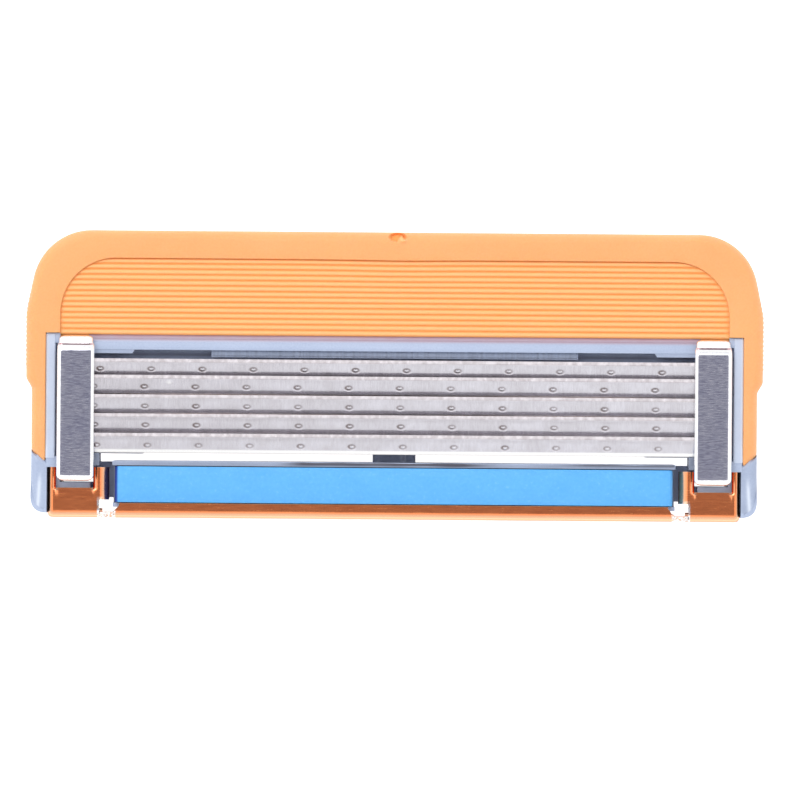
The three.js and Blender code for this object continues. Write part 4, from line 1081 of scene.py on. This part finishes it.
SHEET = 0.28
BORDER_WIDTH = 0.2
BORDER_ROLL = 0.22
BEND_RADIUS = 0.45
TAB_INNER_X = 15.85
TAB_FRONT_Y = -5.2
FLANGE_HALF_WIDTH = 15.6
FLANGE_FRONT_Y = -7.17
NOTCH_OUTER_X = 16.4
NOTCH_FRONT_Y = -7.0
NOTCH_BOTTOM_Z = 9.4
SLOT_INNER_X = 16.72
SLOT_OUTER_X = 18.8
SLOT_REAR_Y = -6.34
SLOT_LIP = 0.26
CARRIER_REACH = 19.25
CHAMFER = 0.1
CHAMFER_SLOPE = 0.26
ROLL = 0.4
WINDOW_HALF_WIDTH = 12.6
WINDOW_LOW_Z = 6.6
WINDOW_HIGH_Z = 7.5
COMB_PITCH = 1.8
COMB_SLOT = 0.9
COMB_FRONT_Y = -6.9
LOWER_HALF_WIDTH = 15.0
LOWER_FRONT_Y = -5.6
LEG_HOLE = (16.88, 18.6, -6.3)


def carrier_rows():
    """(y, z, outward y, outward z) of the sheet's outer face, top front edge to lower front edge."""
    rear, low, high = CARRIER_LOW.y, CARRIER_LOW.z, CARRIER_HIGH.z
    tops = [TAB_FRONT_Y, -5.23, -5.3, -5.5, -5.8, -6.1]
    tops += [SLOT_REAR_Y + step for step in (0.16, 0.1, 0.05, 0.0, -0.04, -0.08, -0.12, -0.17)]
    tops += [-6.8, NOTCH_FRONT_Y, FLANGE_FRONT_Y, FLANGE_FRONT_Y - 0.04, FLANGE_FRONT_Y - 0.1, -7.4]
    rows = [(y, high, 0.0, 1.0) for y in tops]
    for angle in quarter_turn(12):
        out, up = math.sin(angle), math.cos(angle)
        rows.append((rear + BEND_RADIUS * (1 - out), high - BEND_RADIUS * (1 - up), -out, up))
    walls = [NOTCH_BOTTOM_Z, 9.1, 8.7, 8.2, WINDOW_HIGH_Z + 0.06, WINDOW_HIGH_Z, 7.05, WINDOW_LOW_Z,
             WINDOW_LOW_Z - 0.06]
    rows += [(rear, z, -1.0, 0.0) for z in walls]
    for angle in quarter_turn(8):
        out, down = math.cos(angle), math.sin(angle)
        rows.append((rear + BEND_RADIUS * (1 - out), low + BEND_RADIUS * (1 - down), -out, -down))
    floors = [-7.2, COMB_FRONT_Y, -6.6, LEG_HOLE[2], LOWER_FRONT_Y - 0.06, LOWER_FRONT_Y, -5.4]
    rows += [(y, low, 0.0, -1.0) for y in floors]
    return rows


def comb_edges():
    count = int(2 * WINDOW_HALF_WIDTH / COMB_PITCH)
    centres = [(i - (count - 1) / 2) * COMB_PITCH for i in range(count)]
    return [c + side * COMB_SLOT / 2 for c in centres for side in (-1, 1)]


def carrier_columns():
    """Where the sheet is cut across: close together at its borders, rolls, slots and teeth."""
    half = CARRIER_REACH
    near = [half - BORDER_WIDTH - CHAMFER, half - BORDER_WIDTH - CHAMFER / 2,
            TAB_INNER_X + ROLL + CHAMFER, TAB_INNER_X + ROLL + CHAMFER / 2]
    near += [half - BORDER_WIDTH * (1 - math.sin(angle)) for angle in quarter_turn(6)]
    lip = [SLOT_LIP * (1 - math.sin(angle)) for angle in quarter_turn(6)]
    near += [SLOT_OUTER_X + d for d in lip] + [SLOT_INNER_X - d for d in lip]
    near += [TAB_INNER_X + ROLL * (1 - math.sin(angle)) for angle in quarter_turn(8)]
    near += [FLANGE_HALF_WIDTH - step for step in (0.0, 0.06, 0.16, 0.3)]
    near += [NOTCH_OUTER_X, LOWER_HALF_WIDTH, WINDOW_HALF_WIDTH, LEG_HOLE[0], LEG_HOLE[1]]
    near += spread(SLOT_INNER_X, SLOT_OUTER_X, 0.4)
    columns = [side * x for x in near for side in (-1, 1)] + comb_edges()
    return thinned(columns + spread(-WINDOW_HALF_WIDTH, WINDOW_HALF_WIDTH, 0.45), 0.004)


def facing(outward_z, limit=0.0):
    """1 for a face that looks up, -1 for one that looks down, 0 for an upright one."""
    return (outward_z > limit) - (outward_z < -limit)


def carrier_has_sheet(x, y, z, level):
    """Whether the sheet covers the cell whose middle is here; level is -1 underneath, 1 on top."""
    side = abs(x)
    if level > 0 and y > FLANGE_FRONT_Y:
        in_slot = SLOT_INNER_X < side < SLOT_OUTER_X and y > SLOT_REAR_Y
        past_roll = side < NOTCH_OUTER_X and y < NOTCH_FRONT_Y
        return side > TAB_INNER_X and not in_slot and not past_roll
    if z > NOTCH_BOTTOM_Z:
        return not FLANGE_HALF_WIDTH < side < NOTCH_OUTER_X
    if level < 0 and y > CARRIER_LOW.y + BEND_RADIUS:
        if side > NOTCH_OUTER_X:
            if side < SLOT_INNER_X:
                return False
            return y < -5.4 and not (LEG_HOLE[0] < side < LEG_HOLE[1] and y > LEG_HOLE[2])
        if side > LOWER_HALF_WIDTH or y > LOWER_FRONT_Y:
            return False
    if level < 0 and LOWER_HALF_WIDTH < side < NOTCH_OUTER_X:
        return False
    if side < WINDOW_HALF_WIDTH:
        if WINDOW_LOW_Z < z < WINDOW_HIGH_Z:
            return False
        if z < WINDOW_LOW_Z and y < COMB_FRONT_Y:
            return not any(low < x < high for low, high in zip(comb_edges()[::2], comb_edges()[1::2]))
    return True


def carrier_drop(x, y, level):
    """How far the sheet's face is rolled away at its borders."""
    side = abs(x)
    reach = CARRIER_REACH - side
    drop = 0.0
    if level > 0:
        drop += CHAMFER_SLOPE * max(0.0, BORDER_WIDTH + CHAMFER - reach)
        if y > NOTCH_FRONT_Y - 0.01:
            drop += CHAMFER_SLOPE * max(0.0, TAB_INNER_X + ROLL + CHAMFER - side)
    if reach < BORDER_WIDTH:
        drop += BORDER_ROLL - math.sqrt(BORDER_ROLL ** 2 - (BORDER_WIDTH - reach) ** 2)
    if level > 0:
        away = min(ROLL, TAB_INNER_X + ROLL - side)
        if y > NOTCH_FRONT_Y - 0.01 and away > 0:
            drop += ROLL - math.sqrt(ROLL ** 2 - away ** 2)
        dx = max(SLOT_INNER_X - side, side - SLOT_OUTER_X, 0.0)
        dy = max(SLOT_REAR_Y - y, 0.0)
        gap = math.hypot(dx, dy)
        if gap < SLOT_LIP and side > TAB_INNER_X + ROLL:
            rounding = SLOT_LIP - math.sqrt(SLOT_LIP ** 2 - (SLOT_LIP - gap) ** 2)
            drop += rounding * max(0.0, 1 - dy / SLOT_LIP) if dx > 0 else 0.0
    return drop


def carrier_points(columns, rows):
    """Points of the sheet's outer and inner faces, column by column, with ragged notch edges."""
    shards = random.Random(7)
    points = []
    for x in columns:
        side = abs(x)
        at_notch = min(abs(side - FLANGE_HALF_WIDTH), abs(side - NOTCH_OUTER_X)) < 0.01
        for y, z, ny, nz in rows:
            level = facing(nz)
            drop = carrier_drop(x, y, level) + 0.012 * ripple(x * 0.5, y * 0.7 + z * 0.5, 4.0)
            shift = 0.0
            if at_notch and level >= 0 and z > NOTCH_BOTTOM_Z - 0.01 and y < NOTCH_FRONT_Y + 0.01:
                shift = shards.uniform(-0.04, 0.04)
            if FLANGE_HALF_WIDTH - 0.4 < side < FLANGE_HALF_WIDTH + 0.01 and z > NOTCH_BOTTOM_Z:
                oblique = smoothstep(-7.75, FLANGE_FRONT_Y, y)
                shift -= 0.34 * oblique * smoothstep(FLANGE_HALF_WIDTH - 0.4, FLANGE_HALF_WIDTH, side)
            place_x = math.copysign(side + shift, x)
            top = Vector((place_x, y - ny * drop, z - nz * drop))
            if FLANGE_HALF_WIDTH - 0.01 < side < NOTCH_OUTER_X + 0.01 and z == NOTCH_BOTTOM_Z:
                top.z -= 0.2 + shards.uniform(0.0, 0.1)
            under = Vector((place_x, y - ny * (drop + SHEET), z - nz * (drop + SHEET)))
            points += [top, under]
    return points


def carrier_faces(columns, rows):
    """Faces of the cells that the sheet covers, above and below, with walls round every opening."""
    kept = set()
    for i in range(len(columns) - 1):
        for j in range(len(rows) - 1):
            x = (columns[i] + columns[i + 1]) / 2
            y = (rows[j][0] + rows[j + 1][0]) / 2
            z = (rows[j][1] + rows[j + 1][1]) / 2
            if carrier_has_sheet(x, y, z, facing(rows[j][3] + rows[j + 1][3], 0.001)):
                kept.add((i, j))

    def index(i, j, under):
        return 2 * (i * len(rows) + j) + under

    faces = []
    for i, j in kept:
        corners = [(i, j), (i + 1, j), (i + 1, j + 1), (i, j + 1)]
        faces.append(tuple(index(a, b, 0) for a, b in corners))
        faces.append(tuple(index(a, b, 1) for a, b in reversed(corners)))
        for side, (da, db) in enumerate(((0, -1), (1, 0), (0, 1), (-1, 0))):
            if (i + da, j + db) not in kept:
                a, b = corners[side], corners[(side + 1) % 4]
                faces.append((index(*b, 0), index(*a, 0), index(*a, 1), index(*b, 1)))
    return faces


def build_carrier():
    """The bent copper-coloured sheet, with rolled borders and ripped relief notches; painted highlights lie
    on its bends and on the notches' ripped edges.
    """
    rows = carrier_rows()
    columns = carrier_columns()
    points = carrier_points(columns, rows)
    faces = carrier_faces(columns, rows)
    used = sorted({k for face in faces for k in face})
    renumber = {old: new for new, old in enumerate(used)}
    points = [points[k] for k in used]
    faces = [tuple(renumber[k] for k in face) for face in faces]
    sheet = add_piece("bent_carrier", points, faces, COPPER, sharp=42)

    # A near-white painted highlight on the ripped edges of the notches.
    def torn_edge_highlight(point):
        side = abs(point.x)
        away = max(0.0, FLANGE_HALF_WIDTH - 0.05 - side, side - NOTCH_OUTER_X - 0.03)
        behind = smoothstep(NOTCH_FRONT_Y + 0.05, NOTCH_FRONT_Y - 0.05, point.y)
        return smoothstep(0.1, 0.03, away) * behind * smoothstep(8.7, 9.1, point.z)

    paint(sheet, "torn_edge_highlight", torn_edge_highlight)
    # A painted highlight where the sheet's face tilts on its bends, strongest at 34 to 44 degrees.
    layer = sheet.data.attributes.new("bend", "FLOAT", "POINT")
    for vertex, item in zip(sheet.data.vertices, layer.data):
        tilt = math.degrees(math.acos(max(-1.0, min(1.0, vertex.normal.z))))
        item.value = smoothstep(10, 34, tilt) * (1 - 0.85 * smoothstep(44, 76, tilt))
    finish_piece(sheet, UNIT, "trimmer_copper", "trimmer_carrier")


# ---- Stage ----


FLOOR_HALF = 20.0
DOME_STRENGTH = 1.5
DOME_STOPS = (
    (0.0, 0.85), (0.1, 0.64), (0.45, 0.66), (0.74, 0.68), (0.86, 0.98), (0.948, 0.98), (0.966, 0.205),
    (1.0, 0.18))
KEY_PLACE = (-0.16, 0.24, 0.41)
KEY_TARGET = (0, 0, 0.01)
KEY_SIZE = 0.3
KEY_POWER = 0.8


def build_floor():
    mesh = bpy.data.meshes.new("floor")
    corners = [(x * FLOOR_HALF, y * FLOOR_HALF, 0) for x, y in ((-1, -1), (1, -1), (1, 1), (-1, 1))]
    mesh.from_pydata(corners, [], [(0, 1, 2, 3)])
    mesh.materials.append(floor_finish())
    floor = bpy.data.objects.new("floor", mesh)
    bpy.context.scene.collection.objects.link(floor)


def build_world():
    """A white dome with a darker patch straight above, so that level metal reads darker than its bends."""
    world = bpy.data.worlds.new("studio")
    world.use_nodes = True
    tree = world.node_tree
    place = tree.nodes.new("ShaderNodeTexCoord")
    split = tree.nodes.new("ShaderNodeSeparateXYZ")
    ramp = tree.nodes.new("ShaderNodeValToRGB")
    tree.links.new(place.outputs["Generated"], split.inputs["Vector"])
    tree.links.new(split.outputs["Z"], ramp.inputs["Fac"])
    tree.links.new(ramp.outputs["Color"], tree.nodes["Background"].inputs["Color"])
    tree.nodes["Background"].inputs["Strength"].default_value = DOME_STRENGTH
    elements = ramp.color_ramp.elements
    while len(elements) < len(DOME_STOPS):
        elements.new(0.5)
    for element, (position, grey) in zip(elements, DOME_STOPS):
        element.position = position
        cool = 1.25 if position > 0.95 else 1.0
        element.color = (grey, grey, grey * cool, 1)
    bpy.context.scene.world = world


def build_key_light():
    data = bpy.data.lights.new("soft_key", "AREA")
    data.size = KEY_SIZE
    data.energy = KEY_POWER
    light = bpy.data.objects.new("soft_key", data)
    light.location = KEY_PLACE
    light.rotation_euler = (Vector(KEY_TARGET) - Vector(KEY_PLACE)).to_track_quat("-Z", "Y").to_euler()
    bpy.context.scene.collection.objects.link(light)


CAMERA_CENTRE = Vector((0.31, -1.33))
FRAME_WIDTH = 44.44
LENS = 250.0
SENSOR = 36.0
CAMERA_ROLL = math.radians(0.45)


def build_camera():
    data = bpy.data.cameras.new("camera")
    data.lens = LENS
    data.sensor_width = SENSOR
    data.clip_start = 0.005
    data.clip_end = 100
    camera = bpy.data.objects.new("camera", data)
    distance = FRAME_WIDTH * LENS / SENSOR
    camera.location = Vector((CAMERA_CENTRE.x, CAMERA_CENTRE.y, BLADE_EDGE_Z + distance)) * MM
    camera.rotation_euler = (0, 0, CAMERA_ROLL)
    bpy.context.scene.collection.objects.link(camera)
    bpy.context.scene.camera = camera


build_camera()
build_world()
build_key_light()
build_floor()
bpy.context.scene.view_settings.view_transform = "Standard"

build_guard_rim()
build_guard_fins()
for blade in range(BLADE_COUNT):
    build_strip(blade)
    build_support(blade)
    build_fingers(blade)
for sign, word in SIDES:
    build_clip(sign, word)
build_lubricating_strip()

build_housing()
build_bar_front()
for sign, word in SIDES:
    build_wall_crest(sign, word)
build_ledge()
build_low_ledge()
build_cap_lip()
build_strut_top()
# The right corner gets more painted shade than the left.
for sign, word, corner_shade in ((-1, "left", 0.1), (1, "right", 0.25)):
    build_corner_crown(sign, word, corner_shade)
build_carrier()
trimmer = refined_copy("ground_trimmer", "trimmer_blade", 0.02, SUPPORT_STEEL)
finish_piece(trimmer, UNIT, "blade_steel", "trimmer_blade")
member = refined_copy("moulded_member", "connecting_member", 0.16, MEMBER)
finish_piece(member, "connecting_member", "member_plastic", "connecting_member")
